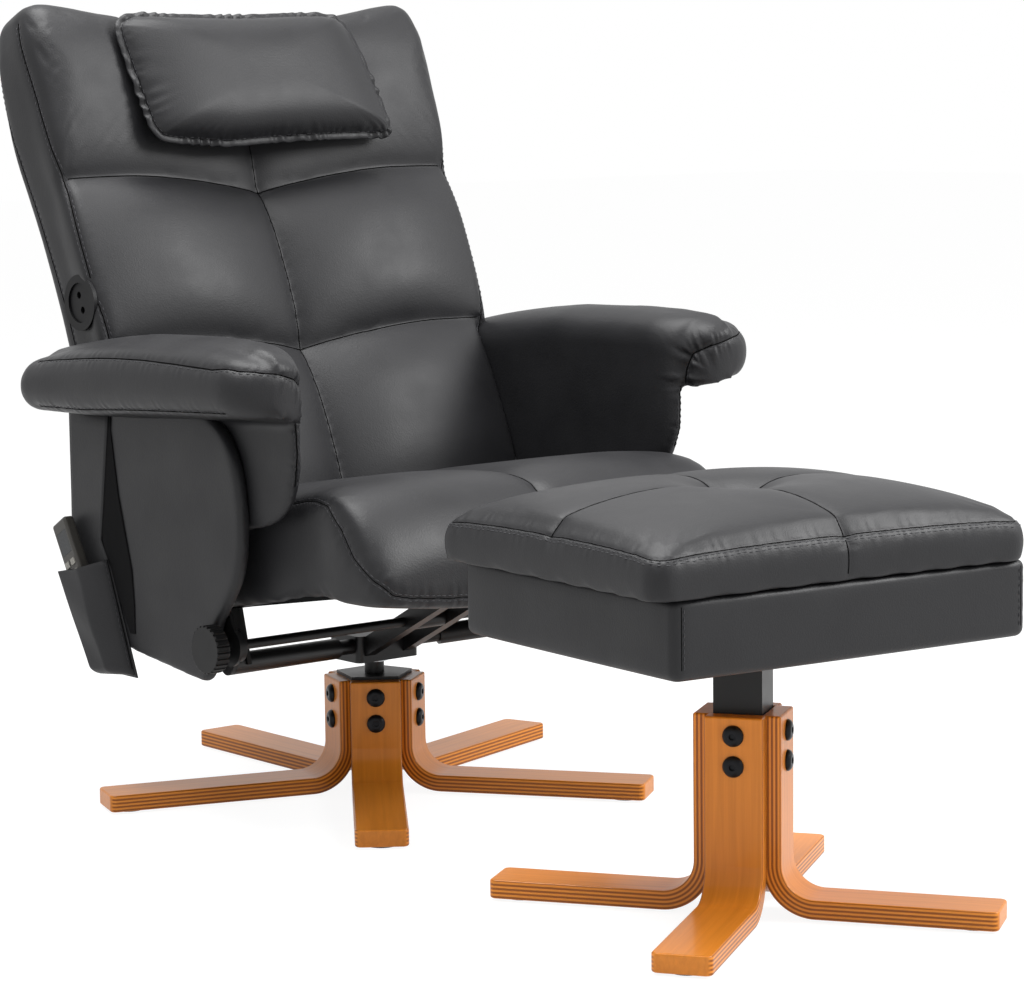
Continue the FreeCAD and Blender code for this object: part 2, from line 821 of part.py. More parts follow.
def seat():
    """The seat pan, the waterfall-front cushion and its motors."""
    half = size("seat_half_width")
    ear = size("seat_ear_half_width")
    front = size("seat_front_reach")
    rear = size("seat_rear_reach")
    top = size("seat_top")
    low = Vector(-half + size("seat_pan_inset"), -size("seat_pan_front"), 0)
    pan_width = "2 * (seat_half_width - seat_pan_inset)"
    pan = block("seat_pan", pan_width, "seat_pan_front + seat_pan_rear", "seat_pan_thickness")
    pan.Placement = SEAT.multiply(Placement(low, Rotation()))
    piece(pan, "seat_pan")
    # place share of the front or rear reach, width, height share
    sections = [
        (rear, half - size("seat_side_swell"), 0.86 * top),
        (0.85 * rear, half - size("seat_side_swell"), 0.99 * top),
        (0.2 * rear, half - size("seat_side_swell"), top),
        (-0.3 * front, half - size("seat_side_swell"), 0.98 * top),
        (-0.56 * front, ear - size("seat_side_swell"), 0.94 * top),
        (-0.78 * front, ear - size("seat_side_swell"), 0.8 * top),
        (-0.93 * front, ear - 2 * size("seat_side_swell"), 0.54 * top),
        (-front, half - 4 * size("seat_side_swell"), 0.32 * top),
    ]
    cushion = loft([seat_section(*section) for section in sections])
    floor = size("seat_pan_thickness")

    def lifted(x, y):
        return at(x, y, floor)

    offsets = (-size("seat_motor_rearward"), size("seat_motor_rearward"))
    cans, pockets = motors_and_pockets(motor_places(Placement(), size("seat_motor_spread"), offsets, lifted))
    piece(shaped("seat_cushion", cushion.cut(pockets), SEAT), "seat_cushion")
    piece(shaped("seat_motors", cans, SEAT), "seat_motors")


def side_point(back, up):
    """A point of a side outline: distance behind the column, height."""
    return Vector(back, up, 0)


def pivot_plates():
    """Steel plates inside the side panels that turn on the rod, with their bolts."""
    thick = size("pivot_plate_thickness")
    radius = size("pivot_plate_radius")
    bore = size("rod_diameter") / 2 + size("running_gap")
    rise = size("pivot_plate_rise")
    depth = size("pivot_plate_depth")
    made = []
    bolts = []
    shank = size("bolt_shank_diameter") / 2
    head = size("bolt_head_diameter") / 3
    # depth share, rise share of each bolt
    shares = ((0.75, 0.1), (0.4, 0.75), (0.85, 0.75))
    spots = [(depth * back, rise * up) for back, up in shares]
    for side in SIDES:
        inner = size("side_panel_inner") - thick
        start = inner if side > 0 else -size("side_panel_inner")
        boss = Part.makeCylinder(radius, thick)
        boss.Placement = Placement(PIVOT + X_AXIS * start, LYING)
        corner = PIVOT + X_AXIS * start
        rim = [
            corner + Vector(0, 0, -radius),
            corner + Vector(0, depth, -radius / 2),
            corner + Vector(0, depth, rise),
            corner + Vector(0, depth / 4, rise),
            corner + Vector(0, -radius, 0),
        ]
        web = Part.Face(Part.makePolygon(rim + rim[:1])).extrude(X_AXIS * thick)
        plate = boss.fuse(web).removeSplitter().cut(rod_hole(bore, start - thick, 3 * thick))
        for back, up in spots:
            spot = PIVOT + Vector(start - thick, back, up)
            hole = Part.makeCylinder(shank + size("bolt_gap"), 3 * thick)
            hole.Placement = Placement(spot, LYING)
            plate = plate.cut(hole)
            bolt = Part.makeCylinder(head, thick)
            bolt = bolt.fuse(Part.makeCylinder(shank, 2 * thick + size("side_panel_thickness") / 2)).Solids[0]
            turn = LYING if side > 0 else Rotation(Y_AXIS, -90)
            place = PIVOT + Vector(side * (inner - thick), back, up)
            bolt.Placement = Placement(place, turn)
            bolts.append(bolt)
        made.append(plate)
    piece(shaped("pivot_plates", Part.makeCompound(made)), "pivot_plates")
    piece(shaped("pivot_bolts", Part.makeCompound(bolts)), "pivot_bolts")
    return bolts


def side_panels(bolts):
    """The D-shaped upholstered panels outside the arms."""
    pivot = PIVOT
    lug = size("pivot_plate_radius")
    chin_share = 1.25
    bottom = size("side_panel_bottom")
    waist_height = pivot.z + lug / 2 + size("side_panel_waist_rise")
    front_height = (size("side_panel_top") + waist_height) / 2
    heel = size("side_panel_heel")
    heel_rise = size("side_panel_heel_rise")
    profile = outline(
        side_point(size("side_panel_rear"), size("side_panel_rear_top")),
        side_point(-size("side_panel_shoulder"), size("side_panel_top")),
        (
            side_point(-size("side_panel_front"), front_height),
            side_point(-size("side_panel_waist"), waist_height),
        ),
        side_point(pivot.y - lug, pivot.z + lug / 2),
        (
            side_point(pivot.y - lug, pivot.z - lug / 2),
            side_point(pivot.y, pivot.z - chin_share * lug),
        ),
        side_point(-size("side_panel_toe"), bottom),
        side_point(heel, bottom),
        side_point(heel + heel_rise, bottom + heel_rise),
    )
    body = padded("side_board", "YZ_Plane", profile, "side_panel_thickness - soft_gap")
    far = size("side_panel_thickness") - 2 * size("soft_gap")
    rounded(body, "side_panel_round", lambda edge: edge.BoundBox.XMin > far)
    body.Placement = at(size("side_panel_inner") + size("soft_gap"), 0, 0)
    reach = side_outer() + size("cut_overrun")
    start = Placement(PIVOT + X_AXIS * (reach / 2), LYING)
    hole = cylinder("side_hole", "rod_diameter + 2 * rod_hole_gap", "1", start)
    bind(hole, Height="side_panel_inner + side_panel_thickness")
    spots = []
    for bolt in bolts:
        if bolt.CenterOfMass.x > 0:
            centre = bolt.CenterOfMass
            inside = size("side_panel_inner") - size("cut_overrun")
            spot = Placement(Vector(inside, centre.y, centre.z), LYING)
            width = "bolt_shank_diameter + 2 * bolt_gap"
            spots.append(cylinder("side_bolt_hole", width, "side_panel_thickness", spot))
    left = cut("side_panel_left", body, hole, *spots)
    piece(left, "side_panel_left")
    piece(mirrored("side_panel_right", left), "side_panel_right")


def arm_webs():
    """The padded inner boards of the arms."""
    corner = size("web_top_corner")
    round_share = 1 - math.sqrt(0.5)
    front = -size("web_front")
    top = size("web_top")
    toe = size("web_toe_radius")
    slope = math.radians(size("web_bottom_slope"))
    turn = math.pi / 2 - slope
    start = size("web_front_bottom")

    def toe_point(share):
        return side_point(front + toe * (1 - math.cos(share * turn)), start - toe * math.sin(share * turn))

    tip = toe_point(1)
    heel = size("web_heel_back")
    heel_height = tip.y - (heel - tip.x) * math.tan(slope)
    profile = outline(
        side_point(front + corner, top),
        (
            side_point(front + corner * round_share, top - corner * round_share),
            side_point(front, top - corner),
        ),
        side_point(front, start),
        (toe_point(0.5), tip),
        side_point(heel, heel_height),
        side_point(heel + corner, heel_height),
        side_point(size("web_rear"), size("pad_bottom") + size("web_rear_rise")),
        side_point(size("web_notch_back"), top),
    )
    body = padded("web_board", "YZ_Plane", profile, "web_thickness - soft_gap")
    low = size("soft_gap")
    rounded(body, "web_round", lambda edge: edge.BoundBox.XMax < low)
    body.Placement = at(size("side_panel_inner") - size("web_thickness"), 0, 0)
    piece(body, "arm_web_left")
    piece(mirrored("arm_web_right", body), "arm_web_right")


def pad_section(along, share, drop_share):
    """One cross-section of the left arm pad, drawn in about its middle."""
    inner = size("side_panel_inner") + size("soft_gap")
    low = size("pad_bottom") - drop_share * size("pad_end_drop")
    high = low + size("pad_height")
    outer = inner + size("pad_width")
    middle = Vector((inner + outer) / 2, along, (low + high) / 2)
    swell = size("pad_outer_swell")
    drop = size("pad_shoulder_drop")

    def drawn(x, z):
        return middle + (Vector(x, along, z) - middle) * share

    return outline(
        drawn(inner, low),
        drawn(outer - swell, low),
        (drawn(outer, (low + high - drop) / 2), drawn(outer - swell, high - drop)),
        (drawn((inner + outer) / 2, high), drawn(inner, high - drop)),
    )


def arm_pads():
    """The stuffed rolls on top of the arms."""
    front = -size("pad_front")
    length = size("pad_front") + size("pad_rear")
    # place share from the front end, fullness share, drop share
    stations = (
        (0, 0.5, 0.4),
        (0.02, 0.76, 0.4),
        (0.07, 0.95, 0.3),
        (0.16, 1, 0.2),
        (0.45, 1, 0),
        (0.7, 1, 0.25),
        (0.88, 1, 0.7),
        (0.95, 0.94, 0.9),
        (0.985, 0.8, 1),
        (1, 0.55, 1),
    )
    shape = loft([pad_section(front + length * place, share, drop) for place, share, drop in stations])
    left = piece(shaped("arm_pad_left", shape), "arm_pad_left")
    piece(mirrored("arm_pad_right", left), "arm_pad_right")


def back_section(up, half, crown_share, edge_crown, rear):
    """One cross-section of the back cushion: two crowned panels and the centre seam."""
    side = -min(size("back_side_front"), size("back_front"))
    edge_x = half - size("back_edge_round")
    edge = -size("back_front") - crown_share * edge_crown
    middle = -size("back_front") - crown_share * size("back_panel_crown")
    seam = -size("back_seam_front") - crown_share * size("back_seam_crown")
    out_share = 0.25
    front_share = 0.62
    corner = Vector(half - out_share * size("back_edge_round"), side + front_share * (edge - side), up)
    turned = Vector(-corner.x, corner.y, up)
    return outline(
        Vector(-half, rear, up),
        Vector(half, rear, up),
        Vector(half, side, up),
        (corner, Vector(edge_x, edge, up)),
        (Vector(edge_x / 2, middle, up), Vector(0, seam, up)),
        (Vector(-edge_x / 2, middle, up), Vector(-edge_x, edge, up)),
        (turned, Vector(-half, side, up)),
    )


def shell_section(up, half, rear):
    """One cross-section of the padded rear shell, with its corners rounded."""
    front = size("back_split") + size("soft_gap")
    corner = min(size("shell_corner"), (rear - front) / 2)
    inset = corner * (1 - math.sqrt(0.5))
    return outline(
        Vector(half, front, up),
        Vector(half, rear - corner, up),
        (Vector(half - inset, rear - inset, up), Vector(half - corner, rear, up)),
        Vector(-half + corner, rear, up),
        (Vector(-half + inset, rear - inset, up), Vector(-half, rear - corner, up)),
        Vector(-half, front, up),
    )


def top_dip():
    """The shallow hollow along the top of the back, between its two corners."""
    half = size("back_top_dip_width") / 2
    dip = size("back_top_dip")
    radius = (half * half + dip * dip) / (2 * dip)
    depth = 4 * size("shell_rear")
    hollow = Part.makeCylinder(radius, depth)
    hollow.Placement = Placement(Vector(0, depth / 2, size("back_top") - dip + radius), Rotation(X_AXIS, 90))
    return hollow


def socket_up():
    """How far up the back the power socket is, for it to clear the arm pad."""
    height = size("pad_bottom") + size("pad_height") - size("pad_end_drop")
    height += size("socket_diameter") / 2 + size("socket_clearance")
    tilt = math.radians(size("back_tilt"))
    return (height - size("back_height") + size("socket_rearward") * math.sin(tilt)) / math.cos(tilt)


def socket_side():
    """How far out the back's side stands at the top of the power socket."""
    low = size("back_lower_seam")
    share = (socket_up() + size("socket_diameter") / 2 - low) / (size("back_upper_seam") - low)
    narrow = size("back_middle_half_width")
    return narrow + share * (size("back_upper_half_width") - narrow)


def socket_cut(diameter, depth):
    """A round recess into the right side of the back."""
    tool = Part.makeCylinder(diameter / 2, depth + size("cut_overrun"))
    face = -socket_side() - size("cut_overrun") - size("socket_rim")
    tool.Placement = Placement(Vector(face, size("socket_rearward"), socket_up()), LYING)
    return tool


def backrest():
    """The back board, cushion, rear shell, motors and controller."""
    split = size("back_split")
    bottom = -size("back_bottom")
    lower = size("back_lower_seam")
    upper = size("back_upper_seam")
    top = size("back_top")
    low_half = size("back_lower_half_width")
    mid_half = size("back_middle_half_width")
    up_half = size("back_upper_half_width")
    horn = size("back_horn_half_width")
    # height share of a row, crown share
    swell = ((0, 0), (0.22, 0.78), (0.5, 1), (0.78, 0.78), (1, 0))
    edge = size("back_edge_crown")
    rows = []
    for low, high, low_width, high_width in (
        (bottom, lower, low_half, low_half),
        (lower, upper, mid_half, up_half),
    ):
        sections = []
        for place, share in swell:
            half = low_width + (high_width - low_width) * place
            sections.append(back_section(low + (high - low) * place, half, share, edge, split))
        rows.append(loft(sections))
    crown = size("back_horn_crown")
    # height share of the top row, half width, crown share
    head = (
        (0, up_half, 0),
        (0.25, up_half + (horn - up_half) * 0.4, 0.7),
        (0.55, up_half + (horn - up_half) * 0.8, 0.95),
        (0.82, horn, 1),
        (0.94, horn - size("back_edge_round") / 3, 0.8),
        (1, size("back_top_half_width"), 0.35),
    )
    tall = top - upper
    top_row = [back_section(upper + tall * up, half, share, crown, split) for up, half, share in head]
    rows.append(loft(top_row))
    cushion = rows[0].fuse(rows[1:]).cut(top_dip())

    def standing(x, z):
        return Placement(Vector(x, split, z), Rotation(X_AXIS, 90))

    heights = (size("back_motor_low"), size("back_motor_high"))
    spots = motor_places(Placement(), size("back_motor_spread"), heights, standing)
    cans, pockets = motors_and_pockets(spots)
    core_depth = size("socket_core_depth") + size("socket_rim")
    recess = socket_cut(size("socket_core_diameter") + 2 * size("soft_gap"), core_depth)
    piece(shaped("back_cushion", cushion.cut(pockets + [recess]), BACK), "back_cushion")
    piece(shaped("back_motors", cans, BACK), "back_motors")

    rear = size("shell_rear")
    thin = size("shell_top_rear")
    body = loft([shell_section(bottom, low_half, rear), shell_section(lower, low_half, rear)])
    # height share of the upper shell, half width, rear
    upper_shell = (
        (0, mid_half, rear),
        (0.5, up_half, rear),
        (0.75, up_half + (horn - up_half) * 0.8, 0.95 * rear),
        (0.9, horn, thin + 0.6 * (rear - thin)),
        (0.97, horn - size("back_edge_round") / 3, thin + 0.25 * (rear - thin)),
        (1, size("back_top_half_width"), thin),
    )
    head_shell = loft([shell_section(lower + (top - lower) * h, w, deep) for h, w, deep in upper_shell])
    shell = body.fuse(head_shell).cut([top_dip(), recess])
    gap = size("soft_gap")
    board_half = size("board_half_width")
    board_low = Vector(-board_half, split, -size("board_bottom"))
    board = block("back_board", "2 * board_half_width", "board_thickness", "board_bottom + board_top")
    board.Placement = BACK.multiply(Placement(board_low, Rotation()))
    board_tall = size("board_bottom") + size("board_top") + 2 * gap
    hollow = Part.makeBox(2 * (board_half + gap), size("board_thickness") + gap, board_tall)
    hollow.translate(board_low - Vector(gap, 0, gap))
    wide = size("controller_width")
    deep = size("controller_depth")
    control_low = Vector(-wide / 2, split + size("board_thickness"), size("controller_up"))
    case = Part.makeBox(wide + 2 * gap, deep + gap, size("controller_height") + 2 * gap)
    case.translate(control_low - Vector(gap, 0, gap))
    piece(board, "back_board")
    piece(shaped("back_shell", shell.cut([hollow, case]), BACK), "back_shell")
    control = block("massage_controller", "controller_width", "controller_depth", "controller_height")
    control.Placement = BACK.multiply(Placement(control_low, Rotation()))
    piece(control, "massage_controller")


def power_socket():
    """The round inlet on the right side of the back: a rim and a core with two jacks."""
    rim = size("socket_rim")
    face = -socket_side() - rim - size("soft_gap")
    middle = Vector(face, size("socket_rearward"), socket_up())
    core = Part.makeCylinder(size("socket_core_diameter") / 2, size("socket_core_depth"))
    for side in SIDES:
        jack = Part.makeCylinder(size("jack_diameter") / 2, size("jack_depth"))
        jack.translate(Vector(side * size("jack_spacing") / 2, 0, 0))
        core = core.cut(jack)
    core.Placement = Placement(middle + X_AXIS * (rim / 2), LYING)
    bezel = ring(size("socket_core_diameter") / 2 + size("running_gap"), size("socket_diameter") / 2, rim)
    bezel.Placement = Placement(middle, LYING)
    piece(shaped("socket_rim", bezel, BACK.multiply(bezel.Placement)), "socket_rim")
    piece(shaped("socket_core", core, BACK.multiply(core.Placement)), "socket_core")


def cushion_ring(half_wide, half_deep, corner, draw, level):
    """A rounded oblong at one level whose sides are drawn in between its corners."""
    inset = corner * (1 - math.sqrt(0.5))
    right = half_wide
    back = half_deep
    return outline(
        Vector(-right + corner, -back, level),
        (Vector(0, -back + draw, level), Vector(right - corner, -back, level)),
        (Vector(right - inset, -back + inset, level), Vector(right, -back + corner, level)),
        (Vector(right - draw, 0, level), Vector(right, back - corner, level)),
        (Vector(right - inset, back - inset, level), Vector(right - corner, back, level)),
        (Vector(0, back - draw, level), Vector(-right + corner, back, level)),
        (Vector(-right + inset, back - inset, level), Vector(-right, back - corner, level)),
        (Vector(-right + draw, 0, level), Vector(-right, -back + corner, level)),
        (Vector(-right + inset, -back + inset, level), Vector(-right + corner, -back, level)),
    )


def crowned(half_wide, half_deep, corner, draw, height, stations):
    """A stuffed cushion through rings at shares of its height, drawn in by shares of its corner."""
    rings = []
    least_bend = 0.35
    bend_loss = 0.125
    for level_share, inset_share in stations:
        inset = inset_share * corner
        bend = corner * max(least_bend, 1 - inset_share * bend_loss)
        rings.append(cushion_ring(half_wide - inset, half_deep - inset, bend, draw, level_share * height))
    return loft(rings)


def head_pillow():
    """The pillow that hangs in front of the top row, and the flap that holds it."""
    # level share of the thickness, inset share of the corner
    stations = ((0, 0.5), (0.12, 0), (0.3, 0.08), (0.62, 0.6), (0.88, 1.5), (1, 2.4))
    shape = crowned(
        size("pillow_half_width"),
        size("pillow_half_height"),
        size("pillow_corner"),
        size("pillow_draw"),
        size("pillow_thickness"),
        stations,
    )
    place = Placement(Vector(0, -size("pillow_rear"), size("pillow_up")), Rotation(X_AXIS, 90))
    piece(shaped("head_pillow", shape, BACK.multiply(place)), "head_pillow")
    half = size("back_top_dip_width") / 2
    rise = size("back_top_dip") * (size("flap_half_width") / half) ** 2
    level = size("back_top") - size("back_top_dip") + rise + size("soft_gap")
    thick = size("flap_thickness")
    fold = -size("flap_fold")
    reach = -size("flap_front")
    drop = size("flap_drop")
    left = -size("flap_half_width")
    rim = [
        Vector(left, size("flap_rear"), level),
        Vector(left, fold, level),
        Vector(left, reach, level - drop),
        Vector(left, reach - thick, level - drop),
        Vector(left, fold - thick / 2, level + thick),
        Vector(left, size("flap_rear"), level + thick),
    ]
    flap = Part.Face(Part.makePolygon(rim + rim[:1])).extrude(X_AXIS * (2 * size("flap_half_width")))
    piece(shaped("pillow_flap", flap, BACK), "pillow_flap")


def sheet_slab(points, depth):
    """A flat sheet in the YZ plane through (x, y, z) corners, thickened along X."""
    return Part.Face(Part.makePolygon(points + points[:1])).extrude(X_AXIS * depth)


def side_pocket():
    """The pocket that hangs from the right arm: a back sheet and an open pouch."""
    skin = size("pocket_sheet")
    inner = -side_outer() - size("soft_gap") - skin
    top = size("pocket_top")
    mouth_front = (size("pocket_mouth_front"), size("pocket_mouth_front_height"))
    mouth_rear = (size("pocket_mouth_rear"), size("pocket_mouth_rear_height"))
    foot_front = (size("pocket_foot_front"), size("pocket_foot_height"))
    foot_rear = (size("pocket_foot_rear"), size("pocket_foot_height"))

    def corner(x, spot):
        return Vector(x, spot[0], spot[1])

    back = [
        Vector(inner, size("pocket_strap_rear"), top),
        Vector(inner, size("pocket_strap_front"), top),
        corner(inner, mouth_front),
        corner(inner, foot_front),
        corner(inner, foot_rear),
        corner(inner, mouth_rear),
        Vector(inner, size("pocket_strap_rear"), mouth_front[1] + size("pocket_depth")),
    ]
    piece(shaped("pocket_back", sheet_slab(back, skin)), "pocket_back")
    depth = size("pocket_depth")
    outer = inner - depth
    spots = (mouth_front, foot_front, foot_rear, mouth_rear)
    walls = [sheet_slab([corner(outer, spot) for spot in spots], skin)]
    for high, low in ((mouth_front, foot_front), (foot_rear, mouth_rear)):
        run = Vector(0, low[0] - high[0], low[1] - high[1])
        across = Vector(0, -run.z, run.y).normalize() * skin
        rim = [corner(outer + skin, high), corner(outer + skin, low)]
        rim = rim + [rim[1] - across, rim[0] - across]
        walls.append(Part.Face(Part.makePolygon(rim + rim[:1])).extrude(X_AXIS * (depth - skin)))
    base_rim = [
        corner(outer + skin, foot_front) + Vector(0, skin, 0),
        corner(outer + skin, foot_rear) - Vector(0, skin, 0),
    ]
    base_rim = base_rim + [base_rim[1] + Z_AXIS * skin, base_rim[0] + Z_AXIS * skin]
    base = Part.Face(Part.makePolygon(base_rim + base_rim[:1])).extrude(X_AXIS * (depth - skin))
    base = base.cut(walls[1:])
    walls.append(max(base.Solids, key=lambda solid: solid.Volume))
    piece(shaped("pocket_pouch", Part.makeCompound(walls)), "pocket_pouch")


def remote_frame():
    """The remote's own frame: +Z along the case, -X out of its face."""
    skin = size("pocket_sheet")
    outer = -side_outer() - size("soft_gap") - skin - size("pocket_depth") / 2 + skin / 2
    return at(outer, size("remote_rearward"), size("remote_height"), X_AXIS, -size("remote_tilt"))


def remote():
    """The remote control: a hollow case, its circuit board, window and four buttons."""
    frame = remote_frame()
    half_thick = size("remote_thickness") / 2
    half_wide = size("remote_width") / 2
    half_long = size("remote_length") / 2
    wall = size("remote_wall")
    low = Vector(-half_thick, -half_wide, -half_long)
    solid = Part.makeBox(2 * half_thick, 2 * half_wide, 2 * half_long)
    solid.translate(low)
    solid = solid.makeFillet(size("remote_round"), solid.Edges)
    room = Part.makeBox(2 * (half_thick - wall), 2 * (half_wide - wall), 2 * (half_long - wall))
    room.translate(low + Vector(wall, wall, wall))
    case = solid.cut(room)
    gap = size("button_gap")
    window_low = Vector(-half_thick, -size("window_width") / 2, size("window_up") - size("window_length") / 2)
    hatch = Part.makeBox(wall, size("window_width") + 2 * gap, size("window_length") + 2 * gap)
    hatch.translate(window_low - Vector(0, gap, gap))
    case = case.cut(hatch)
    proud = size("button_proud")
    face = -half_thick - proud
    buttons = []
    for row in (0, -1):
        for side in SIDES:
            up = size("button_up") + row * size("button_pitch")
            middle = Vector(face, side * size("button_spread") / 2, up)
            buttons.append(middle)
    for number, middle in enumerate(buttons, start=1):
        corner = middle - Vector(0, size("button_width") / 2, size("button_length") / 2)
        hole = Part.makeBox(wall + proud, size("button_width") + 2 * gap, size("button_length") + 2 * gap)
        hole.translate(corner - Vector(0, gap, gap))
        case = case.cut(hole)
        cap = block(f"button_cap_{number}", "button_height", "button_width", "button_length")
        cap.Placement = frame.multiply(Placement(corner, Rotation()))
        lip = size("button_flange_lip")
        seat_low = Vector(-half_thick + wall + gap, corner.y - lip, corner.z - lip)
        flange = block(
            f"button_flange_{number}",
            "button_flange",
            "button_width + 2 * button_flange_lip",
            "button_length + 2 * button_flange_lip",
        )
        flange.Placement = frame.multiply(Placement(seat_low, Rotation()))
        piece(fused(f"remote_button_{number}", cap, flange), f"remote_button_{number}")
    piece(shaped("remote_case", case, frame), "remote_case")
    glass = block("remote_window", "remote_wall", "window_width", "window_length")
    glass.Placement = frame.multiply(Placement(window_low, Rotation()))
    piece(glass, "remote_window")
    board_width = "remote_width - 2 * remote_wall"
    board_length = "remote_length - 2 * remote_wall"
    board = block("remote_circuit", "remote_board_thickness", board_width, board_length)
    board.Placement = frame.multiply(Placement(Vector(0, -half_wide + wall, -half_long + wall), Rotation()))
    piece(board, "remote_circuit")


def recline_knob():
    """The lock knob on the rod's right end, with a knurled rim."""
    disc = Part.makeCylinder(size("knob_diameter") / 2, size("knob_thickness"))
    edge = size("knob_lobe_diameter") / 2
    rims = [e for e in disc.Edges if isinstance(e.Curve, Part.Circle)]
    disc = disc.makeFillet(edge, rims)
    lobe = Part.makeCylinder(edge, size("knob_thickness"))
    turns = [at(0, 0, 0, Z_AXIS, 360 / KNOB_LOBES * step) for step in range(KNOB_LOBES)]
    spots = [turn.multiply(at(size("knob_diameter") / 2, 0, 0)) for turn in turns]
    disc = disc.cut(copies(lobe, spots).Solids)
    gap = size("running_gap")
    bore = Part.makeCylinder(size("rod_diameter") / 2 + gap, size("knob_thickness") / 2 + gap)
    bore.translate(Z_AXIS * (size("knob_thickness") / 2 - size("running_gap")))
    disc = disc.cut(bore)
    place = PIVOT - X_AXIS * (side_outer() + size("knob_stand_off") + size("knob_thickness"))
    piece(shaped("recline_knob", disc, Placement(place, LYING)), "recline_knob")


def footstool_base():
    """Four legs on a square steel post with a plate on top."""
    first = size("stool_leg_angle")
    base_legs("stool", STOOL_LEGS, first, STOOL)
    low = size("stool_post_bottom")
    turned = STOOL.multiply(at(0, 0, low, Z_AXIS, first))
    height = "stool_box_bottom - stool_plate_thickness - stool_post_bottom"
    post = prism("post_outside", STOOL_LEGS, "stool_hub_apothem - soft_gap", height, turned)
    room = prism("post_inside", STOOL_LEGS, "stool_hub_apothem - soft_gap - stool_post_wall", height, turned)
    half = size("stool_plate_side") / 2
    plate_low = Vector(-half, -half, size("stool_box_bottom") - size("stool_plate_thickness"))
    plate = block("post_plate", "stool_plate_side", "stool_plate_side", "stool_plate_thickness")
    plate.Placement = STOOL.multiply(Placement(plate_low, Rotation()))
    tube = cut("post_tube", post, room, *bolt_holes("post_hole", "stool", STOOL_LEGS, first, STOOL))
    welded = doc.addObject("Part::Compound", "stool_post")
    welded.Links = [tube, plate]
    piece(welded, "stool_post")


def footstool_box():
    """The storage box: a floor board and four padded walls."""
    wide = size("stool_box_half_width")
    deep = size("stool_box_half_depth")
    low = size("stool_box_bottom")
    wall = size("stool_wall")
    floor_width = "2 * (stool_box_half_width - stool_wall)"
    floor_depth = "2 * (stool_box_half_depth - stool_wall)"
    floor = block("stool_floor", floor_width, floor_depth, "stool_floor_thickness")
    floor.Placement = STOOL.multiply(at(-wide + wall, -deep + wall, low))
    piece(floor, "stool_floor")
    height = size("stool_box_height")
    walls = []
    for side in SIDES:
        long_wall = Part.makeBox(2 * wide, wall, height)
        long_wall.translate(Vector(-wide, deep - wall if side > 0 else -deep, low))
        short_wall = Part.makeBox(wall, 2 * (deep - wall), height)
        short_wall.translate(Vector(wide - wall if side > 0 else -wide, -deep + wall, low))
        walls += [long_wall, short_wall]
    piece(shaped("stool_walls", Part.makeCompound(walls), STOOL), "stool_walls")


def footstool_lid():
    """The lift-off lid: a board inside a tufted cushion."""
    wide = size("lid_half_width")
    deep = size("lid_half_depth")
    height = size("lid_height")
    # level share of the height, inset share of the corner
    stations = (
        (0, 0.2),
        (0.1, 0.03),
        (0.28, 0),
        (0.45, 0.1),
        (0.64, 0.3),
        (0.82, 1.1),
        (0.94, 2.4),
        (1, 3.8),
    )
    shape = crowned(wide, deep, size("lid_corner"), size("lid_draw"), height, stations)
    seam = size("lid_seam_depth")
    half = size("lid_seam_width") / 2
    rim = height + seam
    groove = [Vector(0, -half, rim), Vector(0, half, rim), Vector(0, 0, height - 2 * seam)]
    across = Part.Face(Part.makePolygon(groove + groove[:1])).extrude(X_AXIS * (4 * wide))
    across.translate(Vector(-2 * wide, 0, 0))
    along = across.copy()
    along.rotate(Vector(0, 0, 0), Z_AXIS, 90)
    radius = size("lid_tuft_diameter") / 2
    depth = size("lid_tuft_depth")
    ball = (radius * radius + depth * depth) / (2 * depth)
    dimple = Part.makeSphere(ball)
    dimple.translate(Vector(0, 0, height - depth + ball))
    inset = size("lid_board_inset")
    thick = size("lid_board_thickness")
    gap = size("soft_gap")
    recess = Part.makeBox(2 * (wide - inset + gap), 2 * (deep - inset + gap), thick + 2 * gap)
    recess.translate(Vector(-wide + inset - gap, -deep + inset - gap, -gap))
    shape = shape.cut([across, along, dimple, recess])
    level = size("stool_box_bottom") + size("stool_box_height")
    place = STOOL.multiply(at(size("lid_shift"), 0, level + gap))
    piece(shaped("lid_cushion", shape, place), "lid_cushion")
    board_width = "2 * (lid_half_width - lid_board_inset)"
    board_depth = "2 * (lid_half_depth - lid_board_inset)"
    board = block("lid_board", board_width, board_depth, "lid_board_thickness")
    board.Placement = STOOL.multiply(at(size("lid_shift") - wide + inset, -deep + inset, level + gap))
    piece(board, "lid_board")


def check(items):
    """Stops the build if an object failed or a piece has no valid solid."""
    for item in doc.Objects:
        bad = {"Invalid", "Error"} & set(item.State)
        if bad:
            raise RuntimeError(f"{item.Name} is {sorted(bad)}")
    for item in items:
        if item.Shape.isNull() or not item.Shape.isValid() or not item.Shape.Solids:
            raise RuntimeError(f"{item.Label} has no valid solid")


def main():
    """Builds every sub-part, checks it and writes its file."""
    chair_base()
    box = swivel_box()
    doc.recompute()
    frame_arms(box)
    rod_ears()
    recline_rod()
    front_braces(box)
    seat_side_plates()
    seat()
    side_panels(pivot_plates())
    arm_webs()
    arm_pads()
    backrest()
    power_socket()
    head_pillow()
    side_pocket()
    remote()
    recline_knob()
    footstool_base()
    footstool_box()
    footstool_lid()
    centred = at(0, size("column_rearward"), 0)
    for item in pieces:
        if item.TypeId != "Part::Mirroring":
            item.Placement = centred.multiply(item.Placement)
    doc.recompute()
    check(pieces)
    os.makedirs("parts", exist_ok=True)
    for item in pieces:
        item.Shape.exportStep(f"parts/{item.Label}.step")
        box = item.Shape.BoundBox
        print(item.Label, len(item.Shape.Solids), "solids", round(item.Shape.Volume / 1000, 2), "cm3",
              [round(v) for v in (box.XMin, box.YMin, box.ZMin, box.XMax, box.YMax, box.ZMax)])


main()
